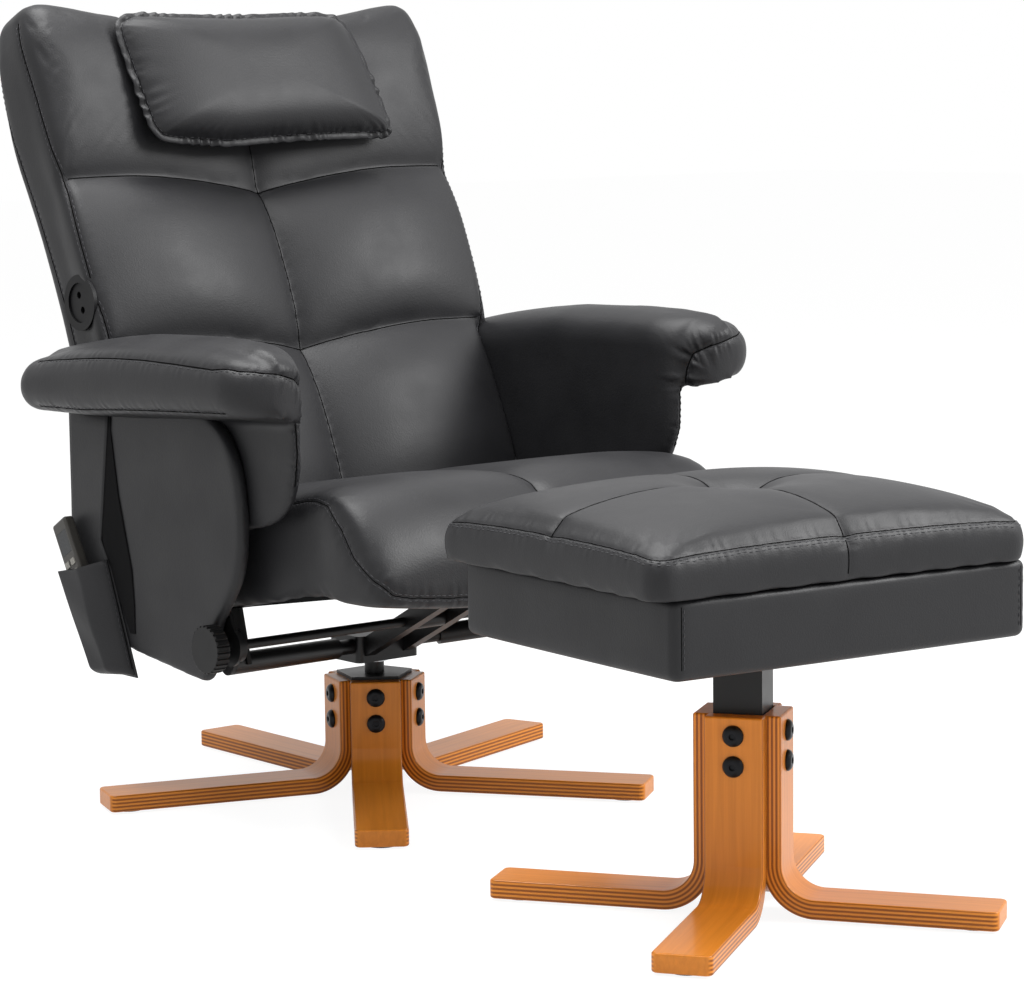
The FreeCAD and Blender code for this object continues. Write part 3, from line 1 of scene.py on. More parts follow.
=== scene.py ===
"""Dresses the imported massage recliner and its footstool, and sets them in a pale studio.

All sizes in the classes are millimetres in the row's frame; meshes are made in metres.
A pair that a ramp reads holds the place where a change starts and the place where it is full.
"""
import json
import logging
import math
from dataclasses import dataclass
from enum import Enum

import bpy
import numpy as np
from mathutils import Matrix, Vector
from mathutils.bvhtree import BVHTree
from mathutils.kdtree import KDTree


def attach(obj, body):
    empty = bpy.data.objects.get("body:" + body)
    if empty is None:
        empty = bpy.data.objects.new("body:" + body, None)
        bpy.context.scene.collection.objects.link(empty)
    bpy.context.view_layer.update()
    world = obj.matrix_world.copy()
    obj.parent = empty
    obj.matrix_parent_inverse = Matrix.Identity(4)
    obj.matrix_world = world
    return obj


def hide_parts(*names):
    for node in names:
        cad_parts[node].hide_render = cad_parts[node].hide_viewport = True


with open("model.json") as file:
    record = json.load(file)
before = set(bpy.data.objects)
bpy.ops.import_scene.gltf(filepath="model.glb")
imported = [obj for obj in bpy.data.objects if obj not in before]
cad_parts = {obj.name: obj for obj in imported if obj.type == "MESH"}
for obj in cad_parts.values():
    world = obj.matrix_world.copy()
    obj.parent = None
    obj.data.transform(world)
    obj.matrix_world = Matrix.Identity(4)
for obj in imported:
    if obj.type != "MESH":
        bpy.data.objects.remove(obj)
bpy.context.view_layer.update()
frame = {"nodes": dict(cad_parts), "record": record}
LOG = logging.getLogger("recliner")
MM = 0.001
QUARTER = math.pi / 2
Array = np.ndarray
Item = bpy.types.Object
Tree = bpy.types.NodeTree
Node = bpy.types.Node
Pair = tuple[float, float]
Triple = tuple[float, float, float]


class Side(Enum):
    """The sitter's two sides."""

    LEFT = 1
    RIGHT = -1

    @property
    def word(self) -> str:
        """The side's name as the nodes write it."""
        return self.name.lower()


@dataclass(frozen=True)
class LocalFrame:
    """A tilted or turned frame, with its origin in millimetres of the row."""

    origin: Triple
    tilt: float = 0.0
    turn: float = 0.0

    @property
    def matrix(self) -> Matrix:
        """Turns local millimetres into metres of the row.

        Returns:
            The matrix of the sub-assembly's own place.
        """
        spin = Matrix.Rotation(math.radians(self.turn), 4, "Z")
        spin = spin @ Matrix.Rotation(math.radians(self.tilt), 4, "X")
        return Matrix.Scale(MM, 4) @ Matrix.Translation(self.origin) @ spin

    def point(self, x: float, y: float, z: float) -> Vector:
        """One local point, in metres of the row."""
        return self.matrix @ Vector((x, y, z))

    def axis(self, x: float, y: float, z: float) -> Vector:
        """A local direction, in the row."""
        return (self.matrix.to_3x3() @ Vector((x, y, z))).normalized()

    def placed(self, local: Array) -> Array:
        """Rows of local millimetres, as metres of the row."""
        out = np.array(self.matrix)
        return local @ out[:3, :3].T + out[:3, 3]

    def local(self, places: Array) -> Array:
        """Rows of points in metres, as local millimetres."""
        back = np.array(self.matrix.inverted())
        return places @ back[:3, :3].T + back[:3, 3]


COLUMN = LocalFrame((0, 327, 0))
SEAT = LocalFrame((0, 127, 289), tilt=-9.46)
BACK = LocalFrame((0, 404, 390), tilt=-24)
STOOL = LocalFrame((-88, -447, 0), turn=-5.47)


def ramp(values: Array, ends: Pair) -> Array:
    """Rises from 0 at the first end to 1 at the second, level beyond them."""
    return np.clip((values - ends[0]) / (ends[1] - ends[0]), 0, 1)


def read_at(table: tuple[Pair, ...], place: float | Array) -> float | Array:
    """What a table of places and values gives at a place."""
    return np.interp(place, *zip(*table))


def turned(radius: float, turn: float) -> Pair:
    """How far a quarter round draws in and drops, at a turn of it."""
    return radius * (1 - math.cos(turn)), radius * (1 - math.sin(turn))


def scales(sizes: Triple) -> Triple:
    """The scales of a pattern whose real sizes are in millimetres."""
    return tuple(1 / (size * MM) for size in sizes)


def linear(code: str) -> tuple[float, float, float, float]:
    """Turns an sRGB hex colour into linear light.

    Args:
        code: six hex digits after a hash.

    Returns:
        Red, green, blue and an alpha of one.
    """
    parts = [int(code[start : start + 2], 16) / 255 for start in (1, 3, 5)]
    light = [part / 12.92 if part <= 0.04045 else ((part + 0.055) / 1.055) ** 2.4 for part in parts]
    return (light[0], light[1], light[2], 1.0)


def plug(tree: Tree, node: Node, inputs: dict) -> None:
    """Gives a node's inputs their values and links.

    Args:
        tree: the node tree.
        node: the node.
        inputs: a value, a socket, or a node for its first output in use, for each named or numbered input.
    """
    for name, value in inputs.items():
        if isinstance(value, bpy.types.Node):
            value = next(socket for socket in value.outputs if socket.enabled)
        if isinstance(value, bpy.types.NodeSocket):
            tree.links.new(value, node.inputs[name])
        else:
            node.inputs[name].default_value = value


def add(tree: Tree, kind: str, inputs: dict | None = None, **settings: object) -> Node:
    """Adds one shader node with its settings, values and links.

    Args:
        tree: the node tree it goes into.
        kind: the node's type.
        inputs: what its inputs get.
        settings: attributes of the node.

    Returns:
        The node.
    """
    node = tree.nodes.new(f"ShaderNode{kind}")
    for name, value in settings.items():
        setattr(node, name, value)
    plug(tree, node, inputs or {})
    return node


@dataclass(frozen=True)
class Finish:
    """A surface of the object, as one node material."""

    name: str
    tint: str
    roughness: float
    gloss: float = 0.3

    def material(self) -> bpy.types.Material:
        """The finished material, made once."""
        return bpy.data.materials.get(self.name) or self.make()

    def make(self) -> bpy.types.Material:
        """Makes the material and plugs its nodes into its shader.

        Returns:
            The new material.
        """
        made = bpy.data.materials.new(self.name)
        made.use_nodes = True
        tree = made.node_tree
        shader = tree.nodes["Principled BSDF"]
        plain = {"Base Color": linear(self.tint), "Roughness": self.roughness}
        plug(tree, shader, plain | {"Specular IOR Level": self.gloss})
        plug(tree, shader, self.nodes(tree, add(tree, "TexCoord").outputs["Object"]))
        return made

    def nodes(self, tree: Tree, place: bpy.types.NodeSocket) -> dict:
        """What the shader's inputs get from this finish's own nodes."""
        raise NotImplementedError


@dataclass(frozen=True)
class EmbossedLeather(Finish):
    """Polyurethane leather, embossed with a fine pebble grain and calendered to a satin face.

    It gives the eye broad soft highlights that break up into tiny pebbles close to.
    """

    shade: str = "#1d1d1f"
    pebble: float = 1.8  # real pebbles are about 0.9 mm, drawn coarser so that they show
    wrinkle: float = 9.0
    cloud: float = 70.0
    bump: float = 0.22
    relief: float = 0.6

    def nodes(self, tree: Tree, place: bpy.types.NodeSocket) -> dict:
        """The pebble bump, the cloudy tone and the rubbed roughness.

        Args:
            tree: The material's node tree.
            place: The socket that gives the piece's own coordinates.

        Returns:
            What each socket of the shader takes, by the socket's name.
        """
        grain = {"Vector": place, "Scale": 1 / (self.pebble * MM), "Randomness": 0.9}
        pebbles = add(tree, "TexVoronoi", grain, feature="SMOOTH_F1")
        folds = {"Vector": place, "Scale": 1 / (self.wrinkle * MM), "Detail": 5.0, "Roughness": 0.6}
        height = add(tree, "Math", {0: pebbles, 1: add(tree, "TexNoise", folds)}, operation="ADD")
        cloud = add(tree, "TexNoise", {"Vector": place, "Scale": 1 / (self.cloud * MM), "Detail": 3.0})
        tone = {"Factor": cloud, 6: linear(self.shade), 7: linear(self.tint)}
        rubbed = {"To Min": self.roughness - 0.05, "To Max": self.roughness + 0.06}
        relief = {"Strength": self.bump, "Distance": self.relief * MM, "Height": height}
        return {
            "Base Color": add(tree, "Mix", tone, data_type="RGBA"),
            "Roughness": add(tree, "MapRange", {"Value": cloud, "From Min": 0.3, "From Max": 0.7} | rubbed),
            "Normal": add(tree, "Bump", relief),
        }


@dataclass(frozen=True)
class SpunThread(Finish):
    """Bonded polyester thread, twisted and pulled tight, a little paler than the leather."""

    twist: float = 1.2
    factor: float = 10.0  # the wave node's own, for slanting bands

    def nodes(self, tree: Tree, place: bpy.types.NodeSocket) -> dict:
        """The twist as fine slanting bands.

        Args:
            tree: The material's node tree.
            place: The socket that gives the piece's own coordinates.

        Returns:
            What each socket of the shader takes, by the socket's name.
        """
        slant = {"Vector": place, "Scale": 1 / (self.twist * MM) / self.factor, "Distortion": 1.0}
        bands = add(tree, "TexWave", slant, bands_direction="DIAGONAL").outputs["Fac"]
        return {"Normal": add(tree, "Bump", {"Strength": 0.3, "Distance": 0.2 * MM, "Height": bands})}


@dataclass(frozen=True)
class EvenSkin(Finish):
    """A moulded or coated skin of one colour, with a fine texture and a slightly uneven gloss."""

    grit: float = 0.7
    grit_detail: float = 2.0
    bump: float = 0.15
    relief: float = 0.2
    patch: float = 25.0
    patch_detail: float = 2.0
    patchy: float = 0.06
    metal: float = 0.0

    def nodes(self, tree: Tree, place: bpy.types.NodeSocket) -> dict:
        """The fine texture and the slightly uneven gloss.

        Args:
            tree: The material's node tree.
            place: The socket that gives the piece's own coordinates.

        Returns:
            What each socket of the shader takes, by the socket's name.
        """
        grit = {"Vector": place, "Scale": 1 / (self.grit * MM), "Detail": self.grit_detail}
        patch = {"Vector": place, "Scale": 1 / (self.patch * MM), "Detail": self.patch_detail}
        gloss = {"To Min": self.roughness - self.patchy, "To Max": self.roughness + self.patchy}
        rough = {"Strength": self.bump, "Distance": self.relief * MM, "Height": add(tree, "TexNoise", grit)}
        return {
            "Metallic": self.metal,
            "Roughness": add(tree, "MapRange", {"Value": add(tree, "TexNoise", patch)} | gloss),
            "Normal": add(tree, "Bump", rough),
        }


@dataclass(frozen=True)
class MouldedPlastic(EvenSkin):
    """ABS, injection moulded in a spark-eroded tool: an even fine texture with a dull gloss."""


@dataclass(frozen=True)
class CoatedSteel(EvenSkin):
    """Mild steel, powder coated and baked: a smooth skin with a slight orange peel and handled patches."""

    grit: float = 2.5
    grit_detail: float = 1.0
    bump: float = 0.12
    patch: float = 40.0
    patch_detail: float = 3.0
    patchy: float = 0.08


@dataclass(frozen=True)
class SawnBoard(Finish):
    """Poplar plywood board, sawn and left raw: long soft figure, dry and matt."""

    figure: str = "#b08d5c"
    grain: Triple = (4.0, 120.0, 120.0)

    def nodes(self, tree: Tree, place: bpy.types.NodeSocket) -> dict:
        """The long figure of the face veneer.

        Args:
            tree: The material's node tree.
            place: The socket that gives the piece's own coordinates.

        Returns:
            What each socket of the shader takes, by the socket's name.
        """
        drawn = add(tree, "Mapping", {"Vector": place, "Scale": scales(self.grain)})
        grain = add(tree, "TexNoise", {"Vector": drawn, "Scale": 1.0, "Detail": 4.0})
        tone = {"Factor": grain, 6: linear(self.figure), 7: linear(self.tint)}
        return {"Base Color": add(tree, "Mix", tone, data_type="RGBA")}


@dataclass(frozen=True)
class BentPlywood(Finish):
    """Beech veneers, bent round a mould, stained honey and varnished to a gloss.

    The broad faces show long grain, and the edges show the glued layers following the bend.
    """

    gloss: float = 0.2
    stand: Pair = (0.0, 0.0)
    heading: float = 0.0
    bend: Pair = (93.8, 60.0)
    grain: Triple = (140.0, 5.0, 8.0)
    grain_tint: str = "#b0671a"
    glue_tint: str = "#8a4c12"
    veneer: float = 2.3  # two real veneers of 1.5 mm, one long and one cross grain

    def nodes(self, tree: Tree, place: bpy.types.NodeSocket) -> dict:
        """The face grain and the edge layers, from the leg's own line.

        Args:
            tree: The material's node tree.
            place: The socket that gives the piece's own coordinates.

        Returns:
            What each socket of the shader takes, by the socket's name.
        """

        def mixed(factor: Node, first: object, second: object) -> Node:
            """A colour between two."""
            return add(tree, "Mix", {"Factor": factor, 6: first, 7: second}, data_type="RGBA")

        def axes(vector: object) -> bpy.types.bpy_prop_collection:
            """A vector's parts, turned to the leg's heading.

            Args:
                vector: The socket or node that gives the vector.

            Returns:
                The sockets of its three parts.
            """
            turn = {"Vector": vector, "Angle": -math.radians(self.heading)}
            spun = add(tree, "VectorRotate", turn, rotation_type="Z_AXIS")
            return add(tree, "SeparateXYZ", {"Vector": spun}).outputs

        foot = (self.stand[0] * MM, self.stand[1] * MM, 0.0)
        leg = axes(add(tree, "VectorMath", {0: place, 1: foot}, operation="SUBTRACT"))
        gaps = []
        for start, name in zip(self.bend, "XZ"):
            gaps.append(add(tree, "Math", {0: start * MM, 1: leg[name]}, operation="SUBTRACT"))
        reach = [add(tree, "Math", {0: gap, 1: 0.0}, operation="MAXIMUM") for gap in gaps]
        corner = add(tree, "CombineXYZ", {"X": reach[0], "Y": reach[1]})
        depth = add(tree, "VectorMath", {0: corner}, operation="LENGTH")
        along = add(tree, "Math", {0: gaps[0], 1: gaps[1]}, operation="SUBTRACT")
        line = add(tree, "CombineXYZ", {"X": along, "Y": leg["Y"], "Z": depth})
        drawn = add(tree, "Mapping", {"Vector": line, "Scale": scales(self.grain)})
        grain = add(tree, "TexNoise", {"Vector": drawn, "Scale": 1.0, "Detail": 5.0, "Distortion": 0.4})
        layer = add(tree, "Math", {0: depth, 1: 1 / (self.veneer * MM)}, operation="MULTIPLY")
        worn = add(tree, "Math", {0: grain, 1: 0.35, 2: layer}, operation="MULTIPLY_ADD")
        cycle = add(tree, "Math", {0: worn, 1: 1.0}, operation="PINGPONG")
        glued = {"Value": cycle, "From Min": 0.3, "From Max": 0.7}
        band = add(tree, "MapRange", glued, interpolation_type="SMOOTHSTEP")
        facing = axes(add(tree, "TexCoord").outputs["Normal"])["Y"]
        size = add(tree, "Math", {0: facing}, operation="ABSOLUTE")
        mask = add(tree, "MapRange", {"Value": size, "From Min": 0.45, "From Max": 0.8})
        face = mixed(grain, linear(self.grain_tint), linear(self.tint))
        edge = mixed(band, linear(self.glue_tint), linear(self.tint))
        return {
            "Base Color": mixed(mask, face, edge),
            "Normal": add(tree, "Bump", {"Strength": 0.08, "Distance": 0.3 * MM, "Height": grain}),
            "Coat Weight": 0.15,
            "Coat Roughness": 0.12,
        }


LEATHER = EmbossedLeather("embossed polyurethane leather", "#1f1f21", 0.48, shade="#171719")
# Near-black, matt and almost without gloss: the thin tube in each seam's groove is painted crease shade,
# darker than the leather round it.
CREASE_SHADE_LEATHER = EmbossedLeather("painted crease shade leather", "#070707", 0.9, gloss=0.05, shade="#050505")
# Black non-woven cloth: the seat pan's real dust cover, and the pocket's gusset sheet, whose darkness there
# is painted shade.
DUST_COVER_AND_SHADE_CLOTH = MouldedPlastic("spun bonded dust cover and painted shade cloth", "#111112", 0.9, gloss=0.1, grit=1.5, bump=0.4)
THREAD = SpunThread("bonded polyester thread", "#303033", 0.5)
SLOTS = {
    "black_steel": CoatedSteel("powder coated steel", "#0c0c0d", 0.4),
    "bolt_black": CoatedSteel("black oxide steel", "#17181b", 0.36, metal=0.6),
    "foot_rubber": MouldedPlastic("moulded foot rubber", "#1a1a1a", 0.75),
    "bearing_steel": CoatedSteel("zinc plated steel", "#b9bcc0", 0.3, metal=1.0),
    "leather": LEATHER,
    "board_wood": SawnBoard("sawn poplar board", "#c8a773", 0.75),
    "motor_plastic": MouldedPlastic("moulded motor housing", "#3a3a3d", 0.5),
    "knob_plastic": MouldedPlastic("moulded knob plastic", "#0d0d0e", 0.5, gloss=0.25),
    "socket_plastic": MouldedPlastic("moulded socket plastic", "#08080a", 0.5, gloss=0.2),
    "remote_plastic": MouldedPlastic("moulded remote plastic", "#3b3936", 0.42),
    "circuit_green": MouldedPlastic("solder masked board", "#1d5a35", 0.4),
    "window_glass": MouldedPlastic("polished acrylic window", "#26282a", 0.12, bump=0.02),
    "button_rubber": MouldedPlastic("moulded silicone rubber", "#85837d", 0.6),
}


def new_piece(name: str, places: list, faces: list, *finishes: Finish) -> Item:
    """Makes a smooth mesh object from points in metres.

    Args:
        name: the piece's name.
        places: its points.
        faces: point numbers of each face.
        finishes: the finishes of its material slots.

    Returns:
        The object, linked to the scene.
    """
    mesh = bpy.data.meshes.new(name)
    mesh.from_pydata([tuple(place) for place in places], [], faces)
    mesh.validate()
    made = bpy.data.objects.new(name, mesh)
    bpy.context.scene.collection.objects.link(made)
    for finish in finishes:
        mesh.materials.append(finish.material())
    mesh.polygons.foreach_set("use_smooth", [True] * len(mesh.polygons))
    return made


def lofted(name: str, rings: list[list[Vector]], closed: bool = False, finish: Finish = LEATHER) -> Item:
    """Joins closed rings of equal count into one skin.

    Args:
        name: the piece's name.
        rings: the rings in order.
        closed: whether the last ring joins the first; if not, both ends are capped.
        finish: the skin's finish.

    Returns:
        The object.
    """
    count = len(rings[0])
    faces = []
    for row in range(len(rings) if closed else len(rings) - 1):
        low = row * count
        high = (row + 1) % len(rings) * count
        for spot in range(count):
            after = (spot + 1) % count
            faces.append((low + spot, low + after, high + after, high + spot))
    places = [place for ring in rings for place in ring]
    if not closed:
        for ring, first, flip in ((rings[0], 0, True), (rings[-1], (len(rings) - 1) * count, False)):
            centre = len(places)
            places.append(sum(ring, Vector()) / count)
            for spot in range(count):
                after = (spot + 1) % count
                pair = (first + after, first + spot) if flip else (first + spot, first + after)
                faces.append((*pair, centre))
    return new_piece(name, places, faces, finish)


def copied(name: str, nodes: tuple[str, ...]) -> Item:
    """Copies the meshes of CAD nodes into one new leather object.

    Args:
        name: the new piece's name.
        nodes: the nodes to copy.

    Returns:
        The object.
    """
    places = []
    faces = []
    for node in nodes:
        mesh = frame["nodes"][node].data
        first = len(places)
        places += [vertex.co.copy() for vertex in mesh.vertices]
        faces += [tuple(first + spot for spot in polygon.vertices) for polygon in mesh.polygons]
    return new_piece(name, places, faces, LEATHER)


def looped(corners: tuple[Pair, ...], count: int) -> Array:
    """Draws a smooth closed line through corners.

    Args:
        corners: the places it passes, in order.
        count: how many points to give.

    Returns:
        The line's points, evenly spaced, one row each.
    """
    knots = np.array(corners, float)
    fine = []
    for index in range(len(knots)):
        before, start, end, after = (knots[(index + step) % len(knots)] for step in (-1, 0, 1, 2))
        for share in np.linspace(0, 1, 24, endpoint=False):
            turn = (end - before) * share + (2 * before - 5 * start + 4 * end - after) * share**2
            fine.append(start + 0.5 * (turn + (3 * start - before - 3 * end + after) * share**3))
    line = np.array(fine + fine[:1])
    gone = np.concatenate(([0], np.cumsum(np.linalg.norm(np.diff(line, axis=0), axis=1))))
    steps = np.linspace(0, gone[-1], count, endpoint=False)
    return np.stack([np.interp(steps, gone, line[:, axis]) for axis in (0, 1)], axis=1)


def drawn_in(loop: Array, inset: float) -> Array:
    """Moves a closed line that runs anticlockwise to its inside by an inset.

    Args:
        loop: The line's corners, one row each.
        inset: How far to move, in the line's own unit.

    Returns:
        The moved line.
    """
    ahead = np.roll(loop, -1, axis=0) - np.roll(loop, 1, axis=0)
    ahead /= np.linalg.norm(ahead, axis=1)[:, None]
    return loop + inset * np.stack([-ahead[:, 1], ahead[:, 0]], axis=1)


def boxed(wide: float, deep: float, corner: float, along: int, bow: float) -> list[Pair]:
    """Draws a rounded rectangle whose sides bow.

    Args:
        wide: half its width.
        deep: half its depth.
        corner: its corners' radius.
        along: points on each side.
        bow: how far the sides stand out in their middle.

    Returns:
        The points, anticlockwise.
    """
    signs = ((1, 1), (-1, 1), (-1, -1), (1, -1), (1, 1))
    centres = [np.array((sx * (wide - corner), sy * (deep - corner))) for sx, sy in signs]
    made = []
    for quarter, (start, end) in enumerate(zip(centres, centres[1:])):
        for turn in np.linspace(0, QUARTER, 10):
            angle = quarter * QUARTER + turn
            made.append(start + corner * np.array((math.cos(angle), math.sin(angle))))
        angle = (quarter + 1) * QUARTER
        out = np.array((math.cos(angle), math.sin(angle)))
        for share in np.linspace(0, 1, along)[1:-1]:
            swell = corner + bow * math.sin(math.pi * share) ** 0.7
            made.append(start + (end - start) * share + out * swell)
    return [(float(x), float(y)) for x, y in made]


def settled(item: Item) -> None:
    """Applies every modifier of a piece to its mesh.

    Args:
        item: The piece, which keeps no modifier.
    """
    shown = item.evaluated_get(bpy.context.evaluated_depsgraph_get())
    mesh = bpy.data.meshes.new_from_object(shown)
    item.modifiers.clear()
    item.data = mesh
    mesh.polygons.foreach_set("use_smooth", [True] * len(mesh.polygons))


def places_of(item: Item) -> Array:
    """The piece's points, one row each, in metres.

    Args:
        item: The piece to read.

    Returns:
        An array of three columns.
    """
    found = np.empty(len(item.data.vertices) * 3)
    item.data.vertices.foreach_get("co", found)
    return found.reshape(-1, 3)


def place_at(item: Item, places: Array) -> None:
    """Moves the piece's points to new places."""
    item.data.vertices.foreach_set("co", places.ravel())
    item.data.update()


def skin_of(item: Item) -> BVHTree:
    """The piece's faces as they are now, to cast rays on."""
    return BVHTree.FromObject(item, bpy.context.evaluated_depsgraph_get())


def remeshed(item: Item, voxel: float, relax: int) -> None:
    """Turns a piece into one even skin and eases its corners.

    Args:
        item: the piece.
        voxel: the grid's pitch in millimetres.
        relax: rounds of smoothing.
    """
    change = item.modifiers.new("skin", "REMESH")
    change.mode = "VOXEL"
    change.voxel_size = voxel * MM
    item.modifiers.new("ease", "SMOOTH").iterations = relax
    settled(item)


def subdivided(item: Item) -> None:
    """Adds one level of subdivision to a piece."""
    item.modifiers.new("fine", "SUBSURF").levels = 1
    settled(item)


def weighted(item: Item, name: str, shares: Array) -> None:
    """Gives a piece a group of points with their shares, in quarter steps.

    Args:
        item: The piece.
        name: The group's name.
        shares: A share from 0 to 1 for each point.
    """
    group = item.vertex_groups.new(name=name)
    for share in (0.25, 0.5, 0.75, 1.0):
        chosen = np.where((shares > share - 0.25) & (shares <= share))[0]
        group.add(chosen.tolist(), share, "REPLACE")


def rounded(item: Item, shares: Array, times: int) -> None:
    """Rounds a piece's edges off where the shares say.

    Args:
        item: the piece.
        shares: how much each point moves, from 0 to 1.
        times: how often each point moves towards its neighbours.
    """
    weighted(item, "rounded", shares)
    ease = item.modifiers.new("ease", "SMOOTH")
    ease.vertex_group = "rounded"
    ease.iterations = times
    settled(item)
    item.vertex_groups.clear()


def swollen(item: Item, held: Array, pressure: float, cap: float) -> None:
    """Fills a piece as a stuffed cover, by cloth under pressure.

    Args:
        item: the piece.
        held: how firmly each point is held, from 0 to 1.
        pressure: the filling's pressure.
        cap: the furthest that a point may move, in millimetres.
    """
    before = places_of(item)
    weighted(item, "held", held)
    cloth = item.modifiers.new("stuffing", "CLOTH")
    cloth.settings.vertex_group_mass = "held"
    cloth.settings.use_pressure = True
    cloth.settings.uniform_pressure_force = pressure
    cloth.settings.effector_weights.gravity = 0
    cloth.settings.quality = 4
    cloth.collision_settings.use_collision = False
    scene = bpy.context.scene
    for step in range(1, 21):
        scene.frame_set(step)
    settled(item)
    scene.frame_set(1)
    item.vertex_groups.clear()
    moved = places_of(item) - before
    reach = np.linalg.norm(moved, axis=1)
    limit = cap * MM
    eased = limit * np.tanh(reach / limit)
    place_at(item, before + moved * (eased / np.maximum(reach, 1e-9))[:, None])


@dataclass
class Seam:
    """A sewn line on a cover, with its groove, its puckers and its rows of stitches."""

    path: list[Vector]
    depth: float = 5.0
    width: float = 7.0
    rows: tuple[float, ...] = ()
    pucker: float = 0.0
    gather: float = 17.0
    # the radius of the near-black tube laid in the groove as painted crease shade; 0 lays none
    line: float = 0.9
    cast: Vector | None = None

    def spots(self, step: float) -> list[Vector]:
        """Points at even steps along the path.

        Args:
            step: the distance between points in millimetres.

        Returns:
            The points in metres.
        """
        made = [self.path[0]]
        left = step * MM
        for start, end in zip(self.path, self.path[1:]):
            run = (end - start).length
            gone = left
            while gone <= run:
                made.append(start.lerp(end, gone / run))
                gone += step * MM
            left = gone - run
        return made


# line is the radius of the near-black tube of painted crease shade in each seam's groove
PANEL_SEAM = {"depth": 3.5, "width": 8, "line": 0.8}
EDGE_SEAM = {"depth": 2.5, "width": 5}
ROLL_SEAM = {"depth": 2.2, "width": 4.5}


class Upholstery:
    """Presses seams into a cover and sews their thread on it."""

    STEP = 2.0
    CAST = 90.0
    LIFT = 8.0
    PITCH = 4
    SIDES = 5
    STITCH = ((0.0, 0.35, -0.1), (0.5, 0.65, 0.35), (0.92, 0.35, -0.1))

    def __init__(self, cover: Item, seams: list[Seam]) -> None:
        """Lays the seams on the cover's skin.

        Args:
            cover: the piece.
            seams: its seams.
        """
        self.cover = cover
        self.seams = seams
        self.places: list[Vector] = []
        self.faces: list[tuple[int, ...]] = []
        self.kinds: list[int] = []
        skin = skin_of(cover)
        self.laid = [[self.lay(skin, seam, spot) for spot in seam.spots(self.STEP)] for seam in seams]

    def lay(self, skin: BVHTree, seam: Seam, spot: Vector) -> tuple[Vector, Vector]:
        """Lays one point of a seam on the skin, along the seam's cast or at the nearest place.

        Args:
            skin: The cover's skin.
            seam: The seam that the point is on.
            spot: The point, in metres.

        Returns:
            The place on the skin and the skin's normal there.
        """
        if seam.cast is not None:
            hit = skin.ray_cast(spot - seam.cast * self.CAST * MM, seam.cast)
            if hit[0] is not None:
                return hit[0], hit[1]
        return skin.find_nearest(spot)[:2]

    def nearness(self, number: int, places: Array, reach: float) -> tuple[Array, Array, Array]:
        """Finds the points near one seam.

        Args:
            number: which seam.
            places: the cover's points.
            reach: how far to look, in millimetres.

        Returns:
            The point numbers, their distances and their places along the seam, in millimetres.
        """
        laid = np.array([spot for spot, _ in self.laid[number]])
        low = laid.min(axis=0) - reach * MM
        high = laid.max(axis=0) + reach * MM
        inside = np.where(np.all((places > low) & (places < high), axis=1))[0]
        tree = KDTree(len(laid))
        for index, spot in enumerate(laid):
            tree.insert(spot, index)
        tree.balance()
        found = [tree.find(places[index])[1:] for index in inside]
        along = np.array([index for index, _ in found], float) * self.STEP
        away = np.array([gap for _, gap in found], float) / MM
        return inside, away, along

    def held(self, places: Array, reach: float) -> Array:
        """How firmly the seams hold each point of the cover.

        Args:
            places: the cover's points.
            reach: the half width that a seam holds, in millimetres.

        Returns:
            A share from 0 to 1 for each point.
        """
        share = np.zeros(len(places))
        for number in range(len(self.seams)):
            inside, away, _ = self.nearness(number, places, 2 * reach)
            share[inside] = np.maximum(share[inside], np.clip(2 - away / reach, 0, 1))
        return share

    def press(self) -> None:
        """Presses the grooves and the uneven puckers into the cover."""
        places = places_of(self.cover)
        normals = np.empty(places.size)
        self.cover.data.vertex_normals.foreach_get("vector", normals)
        move = np.zeros(len(places))
        for number, seam in enumerate(self.seams):
            inside, away, along = self.nearness(number, places, 5 * seam.width)
            groove = -seam.depth * np.exp(-away / seam.width)
            turn = 2 * math.pi * along / seam.gather
            wave = np.sin(turn + 2.2 * np.sin(turn / 3.7)) * (0.65 + 0.35 * np.sin(turn / 2.3))
            reach = np.exp(-((away / (2.4 * seam.width)) ** 2)) * (1 - np.exp(-((away / 3) ** 2)))
            move[inside] += groove + seam.pucker * wave * reach
        place_at(self.cover, places + normals.reshape(-1, 3) * (move * MM)[:, None])

    def sew(self, body: str, name: str) -> None:
        """Makes the thread and the near-black tubes of painted crease shade in the seams' grooves as one
        piece.

        Args:
            body: the body that it rides on.
            name: the piece's name.
        """
        skin = skin_of(self.cover)
        for seam, laid in zip(self.seams, self.laid):
            bottoms = []
            for spot, normal in laid:
                hit = skin.ray_cast(spot + normal * self.LIFT * MM, -normal)
                bottoms.append((hit[0], hit[1]) if hit[0] else (spot, normal))
            # a near-black tube along the groove's bottom: painted crease shade
            if seam.line:
                self.fold(bottoms[::2], seam.line)
            for row in seam.rows:
                self.stitch(skin, bottoms, row)
        made = new_piece(name, self.places, self.faces, THREAD, CREASE_SHADE_LEATHER)
        made.data.polygons.foreach_set("material_index", self.kinds)
        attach(made, body)

    def run(self, stations: list[tuple[Vector, Vector, Vector, float]], kind: int) -> None:
        """Adds one thin tube.

        Args:
            stations: its middle, its way across, its way out and its radius at each place.
            kind: the number of its material slot.
        """
        first = len(self.places)
        for middle, across, out, radius in stations:
            for side in range(self.SIDES):
                turn = 2 * math.pi * side / self.SIDES
                self.places.append(middle + (across * math.cos(turn) + out * math.sin(turn)) * radius * MM)
        for low in range(first, first + (len(stations) - 1) * self.SIDES, self.SIDES):
            high = low + self.SIDES
            for side in range(self.SIDES):
                after = (side + 1) % self.SIDES
                self.faces.append((low + side, low + after, high + after, high + side))
                self.kinds.append(kind)

